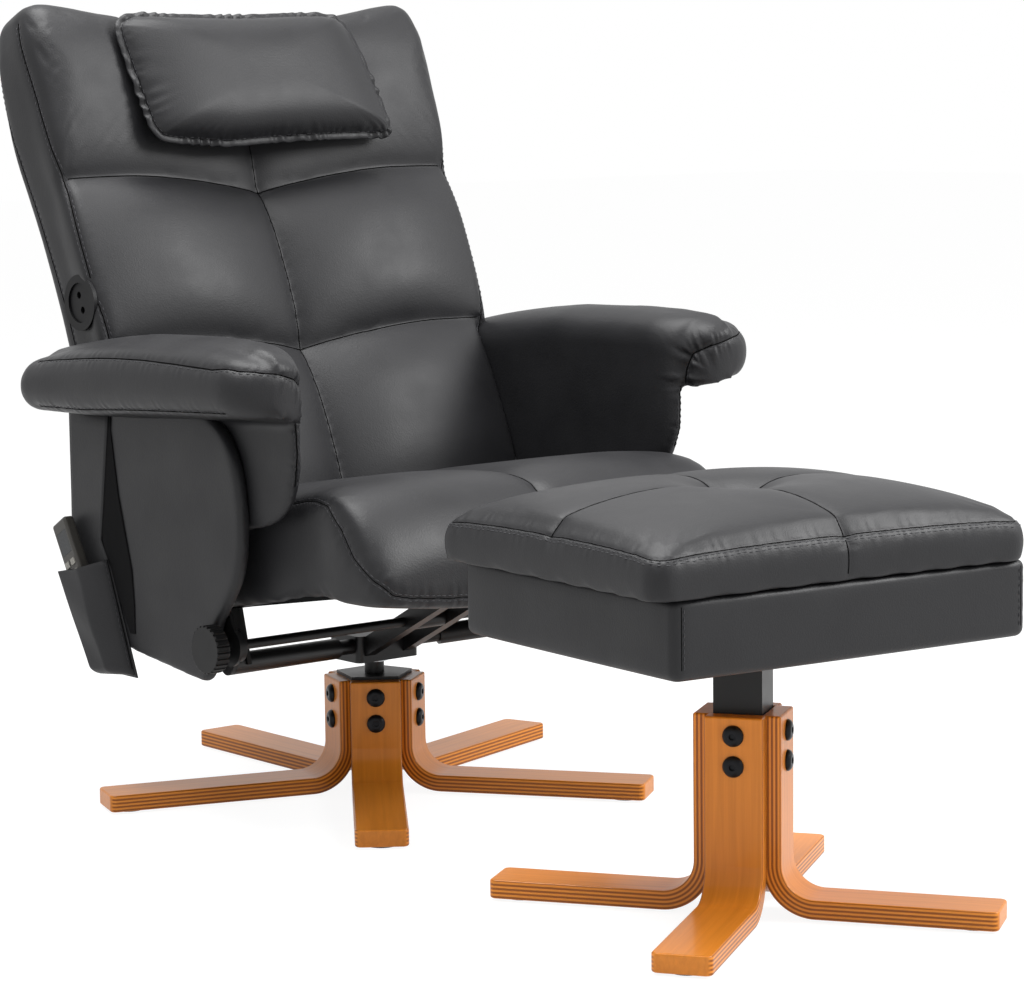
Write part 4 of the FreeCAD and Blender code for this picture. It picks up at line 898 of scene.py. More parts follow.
    def fold(self, spots: list, radius: float) -> None:
        """Adds a thin near-black tube at the bottom of a seam's groove: the folded edge that closes the seam,
        drawn darker than the leather as painted crease shade.

        Args:
            spots: The seam's points on the skin, each with the skin's normal.
            radius: The tube's radius, in millimetres.
        """
        stations = []
        for index, (spot, normal) in enumerate(spots):
            ahead = spots[min(index + 1, len(spots) - 1)][0] - spots[max(index - 1, 0)][0]
            stations.append((spot, ahead.cross(normal).normalized(), normal, radius))
        self.run(stations, 1)

    def stitch(self, skin: BVHTree, spots: list, offset: float) -> None:
        """Adds one row of stitches beside a seam, each a short bowed bar of thread.

        Args:
            skin: The cover's skin.
            spots: The seam's points on the skin, each with the skin's normal.
            offset: Millimetres from the seam to the row.
        """
        for index in range(1, len(spots) - self.PITCH, self.PITCH):
            start, normal = spots[index]
            along = spots[index + self.PITCH - 1][0] - start
            if along.length < self.STEP * MM:
                continue
            across = along.cross(normal).normalized()
            stations = []
            for share, radius, lift in self.STITCH:
                near = skin.find_nearest(start + along * share + across * offset * MM)
                stations.append((near[0] + near[1] * lift * MM, across, near[1], radius))
            self.run(stations, 0)


def stuffed(cover: Item, seams: list[Seam], reach: float, firm: Array, pressure: float, cap: float) -> None:
    """Stuffs a cover between its seams and makes its skin finer.

    Args:
        cover: the piece.
        seams: the seams that hold it.
        reach: the half width that a seam holds, in millimetres.
        firm: how firmly each point is held besides.
        pressure: the filling's pressure.
        cap: the furthest that a point may move, in millimetres.
    """
    held = Upholstery(cover, seams).held(places_of(cover), reach)
    swollen(cover, np.maximum(held, firm), pressure, cap)
    subdivided(cover)


def sewn(cover: Item, seams: list[Seam], body: str, name: str) -> None:
    """Presses a cover's seams into it and sews them, as a piece of its own.

    Args:
        cover: The stuffed cover.
        seams: Its seams.
        body: The body that the stitching rides on.
        name: The stitching's name.
    """
    work = Upholstery(cover, seams)
    work.press()
    work.sew(body, name)


def dressed(item: Item, body: str, fill: float, *nodes: str) -> None:
    """Attaches a stuffed piece to the body that it rides on and hides the CAD nodes that it stands for.

    Args:
        item: The stuffed piece.
        body: The body that it rides on.
        fill: Not used.
        nodes: The CAD nodes that it stands for.
    """
    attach(item, body)
    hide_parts(*nodes)
    LOG.info("%s on %s, %d points", item.name, body, len(item.data.vertices))


def sheeted(item: Item, body: str) -> None:
    """Attaches a sheet to the body that it rides on.

    Args:
        item: the piece, with two faces.
        body: the body that it rides on.
    """
    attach(item, body)


@dataclass
class Backrest:
    """The stuffed back: three rows of two panels in front, a gusset round it and a plain rear."""

    rows: Pair = (179.0, 404.0)
    row_lift: Pair = (17.0, 12.0)
    row_dip: Pair = (19.5, 20.0)
    dip_reach: float = 210.0
    low: float = -52.0
    high: float = 632.0
    half_widths: tuple[Pair, ...] = ((-55, 279), (179, 298.5), (404, 304), (600, 316), (645, 318))
    front: float = -44.0
    edge: float = -22.0
    rear: float = 52.0
    insets: Triple = (8.0, 3.0, 6.0)
    bow_depth: Pair = (-8.0, -22.0)
    bow_ends: Pair = (300.0, 292.0)
    horn: float = 24.0
    horn_place: float = 290.0
    horn_rise: Pair = (545.0, 640.0)
    saddle: float = 16.0
    saddle_fill: float = 9.0
    saddle_half: float = 90.0
    wedge: float = 12.0
    wedge_depth: Pair = (5.0, 45.0)
    wedge_top: float = 600.0
    wedge_run: float = 330.0
    wedge_most: float = 1.6
    tuck: float = 26.0
    tuck_fall: Pair = (-16.0, -50.0)
    tuck_depth: Pair = (5.0, -25.0)
    tuck_half: float = 300.0
    tuck_least: float = 0.45
    spread: float = 0.026
    spread_fall: Pair = (520.0, 340.0)
    spread_front: float = 20.0
    spread_run: float = 40.0
    spread_least: float = 0.35
    taper: float = 0.012
    taper_rise: Pair = (500.0, 580.0)
    firm_depth: Pair = (-14.0, -2.0)
    voxel: float = 6.0
    relax: int = 4
    cap: float = 8.0

    def half(self, up: float) -> float:
        """Half the back's width at a height."""
        return read_at(self.half_widths, up)

    def bow(self, row: int, across: Array) -> Array:
        """How far a row seam is lifted at places across, as it dips towards the centre."""
        near = np.clip(1 - np.abs(across) / self.dip_reach, 0, 1)
        return self.row_lift[row] - self.row_dip[row] * near**1.5

    def warp(self, cover: Item) -> None:
        """Bows the straight rows, lifts the horns, tucks the foot in and widens the lower half.

        Args:
            cover: The cover's piece, moved in place.
        """
        local = BACK.local(places_of(cover))
        across = np.abs(local[:, 0])
        up = local[:, 2]
        lower = self.bow(0, local[:, 0])
        upper = self.bow(1, local[:, 0])
        first, second = self.rows
        shift = np.where(up < first, lower * (up - self.low) / (first - self.low), 0)
        share = (up - first) / (second - first)
        shift = np.where((up >= first) & (up < second), lower + (upper - lower) * share, shift)
        shift = np.where(up >= second, upper * (self.high - up) / (self.high - second), shift)
        front = ramp(local[:, 1], self.bow_depth) * ramp(across, self.bow_ends)
        inside = (up > self.low) & (up < self.high)
        horn = self.horn * (across / self.horn_place) ** 2 - self.saddle
        horn += self.saddle_fill * np.clip(1 - across / self.saddle_half, 0, 1)
        deeper = ramp(local[:, 1], self.wedge_depth)
        deeper *= np.clip((self.wedge_top - up) / self.wedge_run, 0, self.wedge_most)
        local[:, 2] += shift * front * inside + horn * ramp(up, self.horn_rise)
        tucked = ramp(up, self.tuck_fall) * ramp(local[:, 1], self.tuck_depth)
        local[:, 2] -= self.tuck * tucked * np.clip(1 - across / self.tuck_half, self.tuck_least, 1)
        local[:, 1] += self.wedge * deeper
        wider = ramp(up, self.spread_fall)
        wider *= np.clip((self.spread_front - local[:, 1]) / self.spread_run, self.spread_least, 1)
        local[:, 0] *= 1 + self.spread * wider - self.taper * ramp(up, self.taper_rise)
        place_at(cover, BACK.placed(local))

    def seams(self) -> list[Seam]:
        """The centre seam, the two row seams, the edge seams and the rear seams.

        Returns:
            The seams, in the order they are sewn.
        """
        ups = np.linspace(self.low, self.high, 60)
        inward = BACK.axis(0, 1, 0)
        row_inset, edge_inset, rear_inset = self.insets
        made = [Seam([BACK.point(0, self.front, up) for up in ups], **PANEL_SEAM, cast=inward)]
        for row, level in enumerate(self.rows):
            limit = self.half(level) - row_inset
            spread = np.linspace(-limit, limit, 81)
            lifts = self.bow(row, spread)
            line = [BACK.point(x, self.front, level + lift) for x, lift in zip(spread, lifts)]
            made.append(Seam(line, **PANEL_SEAM, cast=inward))
        for side in Side:
            edge = [BACK.point(side.value * (self.half(up) - edge_inset), self.edge, up) for up in ups]
            made.append(Seam(edge, **EDGE_SEAM, rows=(-3.5, 3.5), line=0.8))
            rear = [BACK.point(side.value * (self.half(up) - rear_inset), self.rear, up) for up in ups]
            made.append(Seam(rear, depth=2, width=5, rows=(3.5,), line=0.8))
        return made

    def build(self) -> None:
        """Makes the back's cover, stuffs it and sews it."""
        filling = ("back_cushion", "back_shell", "back_board", "back_motors", "massage_controller")
        cover = copied("back_cover", filling)
        remeshed(cover, self.voxel, self.relax)
        self.warp(cover)
        firm = ramp(BACK.local(places_of(cover))[:, 1], self.firm_depth)
        stuffed(cover, self.seams(), 9, firm, 4.0, self.cap)
        sewn(cover, self.seams(), "backrest", "back_seams")
        dressed(cover, "backrest", 0.75, "back_cushion", "back_shell")


@dataclass
class SeatCushion:
    """The stuffed seat, its cover drawn over the pan, with a centre seam and a seam round each side."""

    front: float = -188.0
    rear: float = 205.0
    top: float = 136.0
    top_end: float = -150.0
    down_ends: Pair = (104.0, -30.0)
    skirt_start: float = 45.0
    pan_top: float = 14.3
    skirt: tuple[Pair, ...] = ((-190, -12), (-143, -9), (-107, -4), (-65, 3), (134, -1))
    sag: float = 22.0
    sag_half: float = 290.0
    sag_depth: Pair = (-90.0, -160.0)
    shoulder: float = 8.0
    shoulder_across: Pair = (110.0, 260.0)
    shoulder_rise: Pair = (55.0, 95.0)
    shoulder_depth: Pair = (20.0, -80.0)
    round_times: int = 60
    round_across: Pair = (170.0, 240.0)
    round_rise: Pair = (20.0, 60.0)
    round_depth: Pair = (20.0, -40.0)
    side_line: tuple[Triple, ...] = (
        (270, 204, 100), (272, 176, 116), (272, 42, 121), (276, -40, 124), (279, -66, 122),
        (279, -107, 108), (282, -135, 78), (282, -152, 45), (277, -177, 17), (263, -197, -2),
        (236, -203, -10), (200, -203, -14), (120, -203, -21), (0, -203, -24),
    )
    firm_fall: Pair = (20.0, 0.0)
    firm_across: Pair = (262.0, 272.0)
    voxel: float = 6.0
    cap: float = 9.0

    def seams(self) -> list[Seam]:
        """The centre seam over the top and down the front, and the seams round the two sides.

        Returns:
            The seams, in the order they are sewn.
        """
        top = [SEAT.point(0, v, self.top) for v in np.linspace(self.rear, self.top_end, 40)]
        down = [SEAT.point(0, self.front, w) for w in np.linspace(*self.down_ends, 18)]
        made = [
            Seam(top, **PANEL_SEAM, cast=SEAT.axis(0, 0, -1)),
            Seam(down, **PANEL_SEAM, cast=SEAT.axis(0, 1, 0)),
        ]
        for side in Side:
            line = [SEAT.point(side.value * x, v, w) for x, v, w in self.side_line]
            made.append(Seam(line, **EDGE_SEAM, rows=(-3.2, 3.2), pucker=0.9, line=0.6))
        return made

    def drape(self, cover: Item) -> None:
        """Draws the cover down over the pan, lets its front sag and lifts its shoulders.

        Args:
            cover: The cover's piece, moved in place.
        """
        x, y, z = SEAT.local(places_of(cover)).T
        hung = self.sag * (1 - (x / self.sag_half) ** 2) * ramp(y, self.sag_depth)
        low = read_at(self.skirt, y) - hung
        stretch = (self.skirt_start - low) / (self.skirt_start - self.pan_top)
        below = np.minimum(z - self.skirt_start, 0)
        rise = ramp(np.abs(x), self.shoulder_across) * ramp(z, self.shoulder_rise)
        rise *= ramp(y, self.shoulder_depth)
        z = np.where(below < 0, self.skirt_start + below * stretch, z + self.shoulder * rise)
        place_at(cover, SEAT.placed(np.stack((x, y, z), axis=1)))

    def build(self) -> None:
        """Makes the seat's cover, stuffs it and sews it."""
        cover = copied("seat_cover", ("seat_cushion", "seat_motors"))
        remeshed(cover, self.voxel, 4)
        self.drape(cover)
        remeshed(cover, self.voxel, 3)
        x, y, z = SEAT.local(places_of(cover)).T
        turned = ramp(np.abs(x), self.round_across) * ramp(z, self.round_rise)
        rounded(cover, turned * ramp(y, self.round_depth), self.round_times)
        x, y, z = SEAT.local(places_of(cover)).T
        firm = np.maximum(ramp(z, self.firm_fall), ramp(np.abs(x), self.firm_across))
        stuffed(cover, self.seams(), 9, firm, 4.0, self.cap)
        sewn(cover, self.seams(), "swivel_frame", "seat_seams")
        dressed(cover, "swivel_frame", 0.7, "seat_cushion")


@dataclass
class Arm:
    """One arm: the inner web and the stuffed roll on it in one cover, gathered at the front end."""

    side: Side
    inner: float = 279.6
    web_outer: float = 299.8
    outer: float = 402.0
    nose: float = 350.0
    nose_length: float = 53.0
    front: float = -296.0
    web_front: float = -257.0
    web_draw: float = 18.0
    web_length: float = 45.0
    web_turn: float = 5.0
    web_hem: float = 4.0
    rear: float = 199.0
    tops: tuple[Pair, ...] = (
        (-293, 592), (-255, 600), (-215, 604), (-150, 605), (-30, 602),
        (33, 596), (82, 590), (130, 583), (199, 571),
    )
    lows: tuple[Pair, ...] = ((-293, 518), (-150, 511), (-50, 506), (60, 499), (199, 497))
    top_ends: tuple[Pair, Pair] = ((16, 34), (14, 24))
    low_ends: tuple[Pair, Pair] = ((8, 26), (12, 20))
    outer_tail: Pair = (24, 30)
    inner_tail: Pair = (12, 20)
    tilt: float = 9.0
    roll_most: float = 42.0
    bulge_most: float = 38.0
    round_share: float = 0.42
    crown: float = 4.0
    fall: float = 8.0
    seam_line: tuple[Triple, ...] = (
        (302, -258, 508), (304, -260, 530), (309, -268, 551), (322, -282, 560), (345, -294, 568),
        (365, -290, 573), (385, -270, 574), (394, -230, 573), (394, -160, 575), (394, -85, 577),
        (394, 20, 575), (392, 97, 570), (386, 165, 564),
    )
    under_out: float = 388.0
    under_lift: float = 7.0
    under_ends: Pair = (52.0, 40.0)
    edge_out: float = 297.0
    edge_ends: Pair = (508.0, 425.0)
    row: float = 3.4
    toe: float = 95.0
    toe_height: float = 472.0
    toe_run: float = 0.8
    toe_drop: float = 0.98
    slope: float = 11.7
    heel: float = 80.0
    heel_flat: float = 30.0
    rear_height: float = 505.0
    firm_fall: Pair = (560.0, 470.0)
    voxel: float = 4.5

    def web_low(self, y: float) -> float:
        """The web's lower edge at a place along the arm.

        Args:
            y: Millimetres along the arm.

        Returns:
            The edge's height, in millimetres.
        """
        past = y - self.web_front
        run = self.toe * self.toe_run
        if past < run:
            return self.toe_height - math.sqrt(self.toe**2 - (self.toe - max(past, 0)) ** 2)
        foot = self.toe_height - self.toe * self.toe_drop
        fall = math.tan(math.radians(self.slope))
        if y <= self.heel:
            return foot - (past - run) * fall
        base = foot - (self.heel - self.web_front - run) * fall
        flat = self.heel + self.heel_flat
        return read_at(((self.heel, base), (flat, base), (self.rear, self.rear_height)), y)

    @staticmethod
    def eased(gap: float, length: float) -> float:
        """How far a quarter-round end has drawn in, as a share, at a gap from its tip.

        Args:
            gap: Millimetres from the tip.
            length: The rounded end's length, in millimetres.

        Returns:
            From 1 at the tip to 0 where the end is full.
        """
        if gap >= length:
            return 0.0
        return 1 - math.sqrt(max(0.0, 1 - ((length - gap) / length) ** 2))

    def section(self, y: float) -> list[Vector]:
        """One closed section of the arm.

        Args:
            y: the place along the arm, from the column.

        Returns:
            The section's points in metres.
        """
        gap = y - self.front
        tail = self.rear - y

        def drawn(ends: tuple[Pair, Pair]) -> float:
            """How far a line draws in at the arm's two ends."""
            return sum(most * self.eased(away, length) for (most, length), away in zip(ends, (gap, tail)))

        breadth = self.outer - self.nose
        outer = self.outer - drawn(((breadth, self.nose_length), self.outer_tail))
        top = read_at(self.tops, y) - drawn(self.top_ends)
        low = read_at(self.lows, y) + drawn(self.low_ends)
        foot = low - self.tilt - 0.5
        if y < self.web_front:
            inner = self.nose - breadth * (1 - self.eased(gap, self.web_front - self.front - 2))
        else:
            inner = self.inner + self.web_draw * self.eased(y - self.web_front, self.web_length)
            inner += self.inner_tail[0] * self.eased(tail, self.inner_tail[1])
            foot = min(self.web_low(y), foot)
        roll = min(self.roll_most, (outer - inner) * self.round_share)
        bulge = min(self.bulge_most, (outer - inner) * self.round_share)
        corners = []
        for share in np.linspace(0, 1, 16):
            x = inner + self.web_turn * (1 - min(1.0, share * 8))
            corners.append((x, foot + (top - roll - foot) * share))
        for turn in np.linspace(0, QUARTER, 9)[1:]:
            z = top - roll + (roll - self.crown) * math.sin(turn)
            corners.append((inner + roll * (1 - math.cos(turn)), z))
        for share in np.linspace(0, 1, 8)[1:]:
            x = inner + roll + (outer - bulge - inner - roll) * share
            z = top - self.crown + self.crown * math.sin(math.pi * share) - self.fall * share**2
            corners.append((x, z))
        waist = (top - self.crown - self.fall - low) / 2
        for turn in np.linspace(QUARTER, -QUARTER, 17)[1:]:
            flat = abs(math.cos(turn)) ** 0.8
            corners.append((outer - bulge + bulge * flat, low + waist + waist * math.sin(turn)))
        web = max(inner + 1, min(self.web_outer, outer - bulge - 2))
        for share in np.linspace(0, 1, 7)[1:]:
            corners.append((outer - bulge + (web + 1 - outer + bulge) * share, low - self.tilt * share))
        for share in np.linspace(0, 1, 12)[1:]:
            x = web - self.web_hem * max(0.0, share * 8 - 7)
            corners.append((x, low - self.tilt + (foot - low + self.tilt) * share))
        return [COLUMN.point(self.side.value * x, y, z) for x, z in corners]

    def stations(self) -> list[float]:
        """Places along the arm where its section is drawn, close together at its ends.

        Returns:
            Millimetres along the arm, from its front to its rear.
        """
        ends = [self.front + gap for gap in (0.3, 1.5, 4, 8, 13, 19, 26, 32)]
        web = [self.web_front + gap for gap in (-2.5, -0.4, 0.2, 1.5, 4, 8, 14, 22, 32, 44)]
        middle = list(np.linspace(self.web_front + 54, self.rear - 45, 24))
        tail = [self.rear - gap for gap in (36, 28, 20, 13, 8, 4, 1.5, 0.3)]
        return ends + web + middle + tail

    def seams(self) -> list[Seam]:
        """The seam round the nose and along the roll, its gathers, the lower seam and the web's edge.

        Returns:
            The seams, in the order they are sewn.
        """
        sign = self.side.value
        ends = (self.front + self.under_ends[0], self.rear - self.under_ends[1])
        under = [(self.under_out, y, read_at(self.lows, y) + self.under_lift) for y in np.linspace(*ends, 30)]
        edge = [(self.edge_out, self.web_front, z) for z in np.linspace(*self.edge_ends, 12)]

        def laid(spots: list | tuple) -> list[Vector]:
            """Spots of one side, in metres."""
            return [COLUMN.point(sign * x, y, z) for x, y, z in spots]

        return [
            Seam(laid(self.seam_line), **ROLL_SEAM, rows=(self.row * sign,), pucker=0.5),
            Seam(laid(self.seam_line[2:5]), depth=0.5, width=6, pucker=1.1, gather=9, line=0),
            Seam(laid(self.seam_line[:4]), depth=2.5, width=8, pucker=2.0, gather=13, line=0),
            Seam(laid(under), **ROLL_SEAM, rows=(-self.row * sign,), pucker=0.7),
            Seam(laid(edge), depth=1.5, width=4, rows=(-3, 3), pucker=0.8),
        ]

    def build(self) -> None:
        """Makes the arm's cover, stuffs it and sews it."""
        word = self.side.word
        order = 1 if self.side is Side.LEFT else -1
        cover = lofted(f"arm_cover_{word}", [self.section(y)[::order] for y in self.stations()])
        remeshed(cover, self.voxel, 4)
        firm = ramp(COLUMN.local(places_of(cover))[:, 2], self.firm_fall)
        stuffed(cover, self.seams(), 8, firm, 3.5, 5.0)
        sewn(cover, self.seams(), "backrest", f"arm_seams_{word}")
        dressed(cover, "backrest", 0.7, f"arm_web_{word}", f"arm_pad_{word}")


@dataclass
class SidePanel:
    """One D-shaped side panel: a board padded thinly and covered, its edge turned over."""

    side: Side
    inner: float = 300.2
    thick: float = 15.8
    edge: float = 7.0
    hem: float = 2.0
    around: int = 260
    voxel: float = 3.5
    outline: tuple[Pair, ...] = (
        (208, 470), (207, 500), (196, 513), (100, 514), (0, 514), (-70, 513), (-98, 506), (-124, 491),
        (-145, 466), (-158, 433), (-164, 390), (-162, 350), (-152, 316), (-131, 285), (-110, 257),
        (-101, 230), (-95, 205), (-86, 190), (-70, 185), (0, 193), (78, 203), (98, 211), (114, 228),
        (160, 345),
    )

    def build(self) -> None:
        """Makes the padded panel."""
        loop = looped(self.outline, self.around)
        profile = [(self.hem, 0.0), (0.0, self.hem), (0.0, self.thick - self.edge)]
        for turn in np.linspace(0, QUARTER, 6)[1:]:
            inset, drop = turned(self.edge, turn)
            profile.append((inset, self.thick - drop))
        order = -1 if self.side is Side.LEFT else 1
        rings = []
        for inset, out in profile:
            x = self.side.value * (self.inner + out)
            rings.append([COLUMN.point(x, y, z) for y, z in drawn_in(loop, inset)][::order])
        cover = lofted(f"panel_cover_{self.side.word}", rings)
        remeshed(cover, self.voxel, 3)
        subdivided(cover)
        dressed(cover, "backrest", 0.9, f"side_panel_{self.side.word}")


@dataclass
class HeadPillow:
    """The head pillow: a slim stuffed bag with a stitched flange, and the flap that holds it."""

    outline: tuple[Pair, ...] = (
        (193, 500), (185, 550), (174, 592), (163, 611), (145, 622), (100, 624), (0, 621), (-100, 622),
        (-150, 624), (-174, 622), (-191, 613), (-198, 597), (-196, 560), (-191, 510), (-186, 470),
        (-178, 452), (-162, 443), (-114, 438), (-69, 435), (-10, 438), (43, 440), (110, 441), (160, 441),
        (184, 442), (194, 449), (196, 464),
    )
    rear: float = -55.8
    clear: float = 0.4
    thick: float = 45.0
    back_depth: float = 9.0
    back_belly: float = 8.0
    seam_gap: float = 1.5
    flange: float = 9.0
    flange_profile: tuple[Pair, ...] = ((6.5, -1.9), (0.8, -1.7), (0, 0), (0.8, 1.7), (6.5, 1.9))
    ripples: int = 53
    ripple: float = 2.4
    pucker: Pair = (1.1, 0.3)
    around: int = 460
    stitch_depth: float = 14.0
    flap_half: float = 126.0
    flap_centre: Pair = (-8.0, 575.0)
    flap_turns: Pair = (52.0, 166.0)
    flap_cast: float = 140.0
    flap_faces: Pair = (2.2, 0.4)
    flap_bridge: int = 10

    def bag(self) -> Item:
        """The stuffed bag with its flange.

        Returns:
            The piece.
        """
        middle = self.rear - self.back_depth
        outer = looped(self.outline, self.around)
        seam = drawn_in(outer, self.flange)
        centre = seam.mean(axis=0)
        wave = np.arange(self.around) * 2 * math.pi / self.around * self.ripples
        uneven = np.sin(wave + 2.4 * np.sin(wave / 5)) * (0.55 + 0.45 * np.sin(wave / 7 + 1))
        rings = []

        def ring(loop: Array, depth: float, waves: float) -> None:
            """Adds one ring at a depth, rippled by waves."""
            away = np.minimum(self.rear - self.clear, middle + depth + waves * uneven)
            rings.append([BACK.point(x, n, s) for (x, s), n in zip(loop, away)])

        shares = [0.02] + [math.sin(QUARTER * step / 40) for step in range(1, 41)]
        for share in shares:
            belly = (self.thick - self.back_depth) * (1 - share**3.6) ** 0.55
            ring(centre + (seam - centre) * share, -belly - self.seam_gap, self.pucker[0] * share**16)
        for inset, depth in self.flange_profile:
            ring(drawn_in(outer, inset), depth, self.ripple)
        for share in shares[::-1]:
            belly = self.back_belly * (1 - share**2.3) ** 0.4
            ring(centre + (seam - centre) * share, belly + self.seam_gap, self.pucker[1] * share**16)
        return lofted("pillow_cover", rings)

    def seams(self) -> list[Seam]:
        """The stitch line inside the flange.

        Returns:
            The seams, in the order they are sewn.
        """
        loop = drawn_in(looped(self.outline, self.around), self.flange - self.seam_gap)
        line = [BACK.point(x, self.rear - self.stitch_depth, s) for x, s in loop]
        return [Seam(line + line[:1], depth=1.5, width=3, rows=(0,), line=0, pucker=0.7, gather=16)]

    def flap(self) -> None:
        """The flap that the pillow hangs from, laid over the back's top and down behind the pillow."""
        skin = skin_of(bpy.data.objects["back_cover"])
        turns = np.linspace(*(math.radians(turn) for turn in self.flap_turns), 22)
        ways = [BACK.axis(0, math.cos(turn), math.sin(turn)) for turn in turns]
        centres = [BACK.point(x, *self.flap_centre) for x in np.linspace(-self.flap_half, self.flap_half, 61)]
        reach = np.zeros((len(centres), len(ways)))
        for row, centre in enumerate(centres):
            for column, way in enumerate(ways):
                place = skin.ray_cast(centre + way * (self.flap_cast * MM), -way)[0]
                reach[row, column] = (place - centre).length
        span = self.flap_bridge
        wide = np.pad(reach, ((span, span), (0, 0)), mode="edge")
        eased = np.mean([wide[start : start + len(centres)] for start in range(2 * span + 1)], axis=0)
        rings = []
        for centre, row in zip(centres, np.maximum(reach, eased)):
            faces = []
            for lift in self.flap_faces:
                faces.append([centre + way * (away + lift * MM) for way, away in zip(ways, row)])
            rings.append(faces[0] + faces[1][::-1])
        item = lofted("pillow_hanger", rings)
        sheeted(item, "backrest")
        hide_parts("pillow_flap")

    def build(self) -> None:
        """Makes the pillow, sews its flange and hangs it."""
        cover = self.bag()
        sewn(cover, self.seams(), "pillow", "pillow_seams")
        dressed(cover, "pillow", 0.6, "head_pillow")
        self.flap()


@dataclass
class SidePocket:
    """The pocket that hangs on the right panel: a back sheet and a pouch that stands open at the rear."""

    inner: float = -316.4
    sheet: float = 2.0
    strap: tuple[Triple, ...] = ((505, 112, 203), (474, 116, 203), (386, 129, 203), (335, 137, 204))
    # Rows of the dark sheet at the pocket's front, each a height, a front and a rear edge; the sheet lies
    # flat on the panel as painted shade of the pocket's side wall.
    gusset_shade: tuple[Triple, ...] = (
        (492, 108, 116), (474, 110, 118), (395, 96, 130), (350, 83, 138), (305, 70, 126), (262, 66, 98),
        (225, 66, 76),
    )
    gusset_shade_thick: float = 1.2
    gusset_shade_inset: float = 0.3
    gusset_shade_cut: float = 56.0
    mouth_front: Pair = (120.0, 312.0)
    mouth_rear: Pair = (204.0, 291.0)
    foot_front: Pair = (66.0, 174.0)
    foot_rear: Pair = (127.0, 168.0)
    margins: Pair = (4.0, 2.0)
    depth: float = 25.5
    open_share: float = 0.42
    side_share: float = 0.93
    foot_share: float = 0.9
    mouth_dip: float = 4.0
    crease: float = 1.6
    crease_depth: float = 9.0
    clear: float = 0.4
    lift: float = 0.3
    seam_out: float = 4.0

    def edge(self, share: float, rear: bool) -> Pair:
        """The pouch's front or rear edge, from the mouth (0) to the foot (1).

        Args:
            share: The place down the edge.
            rear: True for the rear edge.

        Returns:
            The point's two measures in the pouch's plane, in millimetres.
        """
        high = self.mouth_rear if rear else self.mouth_front
        low = self.foot_rear if rear else self.foot_front
        return high[0] + (low[0] - high[0]) * share, high[1] + (low[1] - high[1]) * share

    def belly(self, spot: float, share: float) -> float:
        """How far the pouch stands out at a place across it and down it.

        Args:
            spot: The place across, as a share.
            share: The place down, from the mouth to the foot.

        Returns:
            Millimetres out from the pouch's plane.
        """
        out = self.depth * min(1.0, spot / self.open_share) ** 0.5
        for place, start in ((spot, self.side_share), (share, self.foot_share)):
            if place > start:
                out *= math.sqrt(max(0.0, 1 - ((place - start) / (1 - start)) ** 2))
        return out

    def pouch(self) -> Item:
        """The outer sheet of the pouch.

        Returns:
            The piece.
        """
        spots = np.concatenate((np.linspace(0, self.side_share, 26), np.linspace(self.side_share, 1, 8)[1:]))
        shares = np.concatenate((np.linspace(0, self.foot_share, 22), np.linspace(self.foot_share, 1, 8)[1:]))
        rings = []
        for share in shares:
            front = self.edge(share, False)
            rear = self.edge(share, True)
            outside = []
            inside = []
            for spot in spots:
                out = self.belly(spot, share)
                y = front[0] + (rear[0] - front[0]) * spot
                dip = self.mouth_dip * math.sin(math.pi * spot) * (1 - share)
                z = front[1] + (rear[1] - front[1]) * spot - dip
                fold = math.sin(math.pi * spot) * math.sin(2.5 * math.pi * share + 2 * spot)
                out -= self.crease * fold * min(1, out / self.crease_depth)
                x = self.inner - self.sheet - self.clear - out - self.lift
                outside.append(COLUMN.point(x, y, z))
                inside.append(COLUMN.point(x + min(self.sheet, 0.2 + out * 0.5), y, z))
            rings.append(outside + inside[::-1])
        return lofted("pocket_front", rings)

    def back(self) -> Item:
        """The back sheet that the pouch is sewn to.

        Returns:
            The piece.
        """
        levels = list(self.strap)
        for share in np.linspace(0, 1, 9):
            front = self.edge(share, False)
            rear = self.edge(share, True)
            levels.append(((front[1] + rear[1]) / 2, front[0] - self.margins[0], rear[0] + self.margins[1]))
        return self.strip("pocket_sheet", levels, self.sheet, 0.0, LEATHER)

    def strip(self, name: str, levels: list | tuple, thick: float, inset: float, finish: Finish) -> Item:
        """A flat sheet on the panel.

        Args:
            name: the piece's name.
            levels: a height, a front and a rear edge for each row of points.
            thick: the sheet's thickness.
            inset: how far its rear face lies inside the back sheet's.
            finish: its finish.

        Returns:
            The piece.
        """
        rings = []
        near = self.inner - thick + inset
        far = self.inner + inset
        for z, front, rear in levels:
            ys = np.linspace(front, rear, 16)
            rings.append([COLUMN.point(near, y, z) for y in ys] + [COLUMN.point(far, y, z) for y in ys[::-1]])
        return lofted(name, rings, finish=finish)

    def build(self) -> None:
        """Makes the sheets and sews the pouch's edges."""
        sheet = self.back()
        sheeted(sheet, "backrest")
        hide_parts("pocket_back")
        # The gusset is a dark sheet of dust-cover cloth laid flat on the panel at the pocket's front edge;
        # its dark colour is painted shade of the pocket's shadowed side wall.
        side = self.strip("pocket_gusset_shade", self.gusset_shade, self.gusset_shade_thick, self.gusset_shade_inset, DUST_COVER_AND_SHADE_CLOTH)
        sheeted(side, "backrest")
        pouch = self.pouch()
        sheeted(pouch, "backrest")
        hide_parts("pocket_pouch")
        out = self.inner - self.seam_out
        front = [COLUMN.point(out, *self.edge(share, False)) for share in np.linspace(0, 0.95, 12)]
        Upholstery(pouch, [Seam(front, rows=(3,), line=0.6)]).sew("backrest", "pocket_seams")


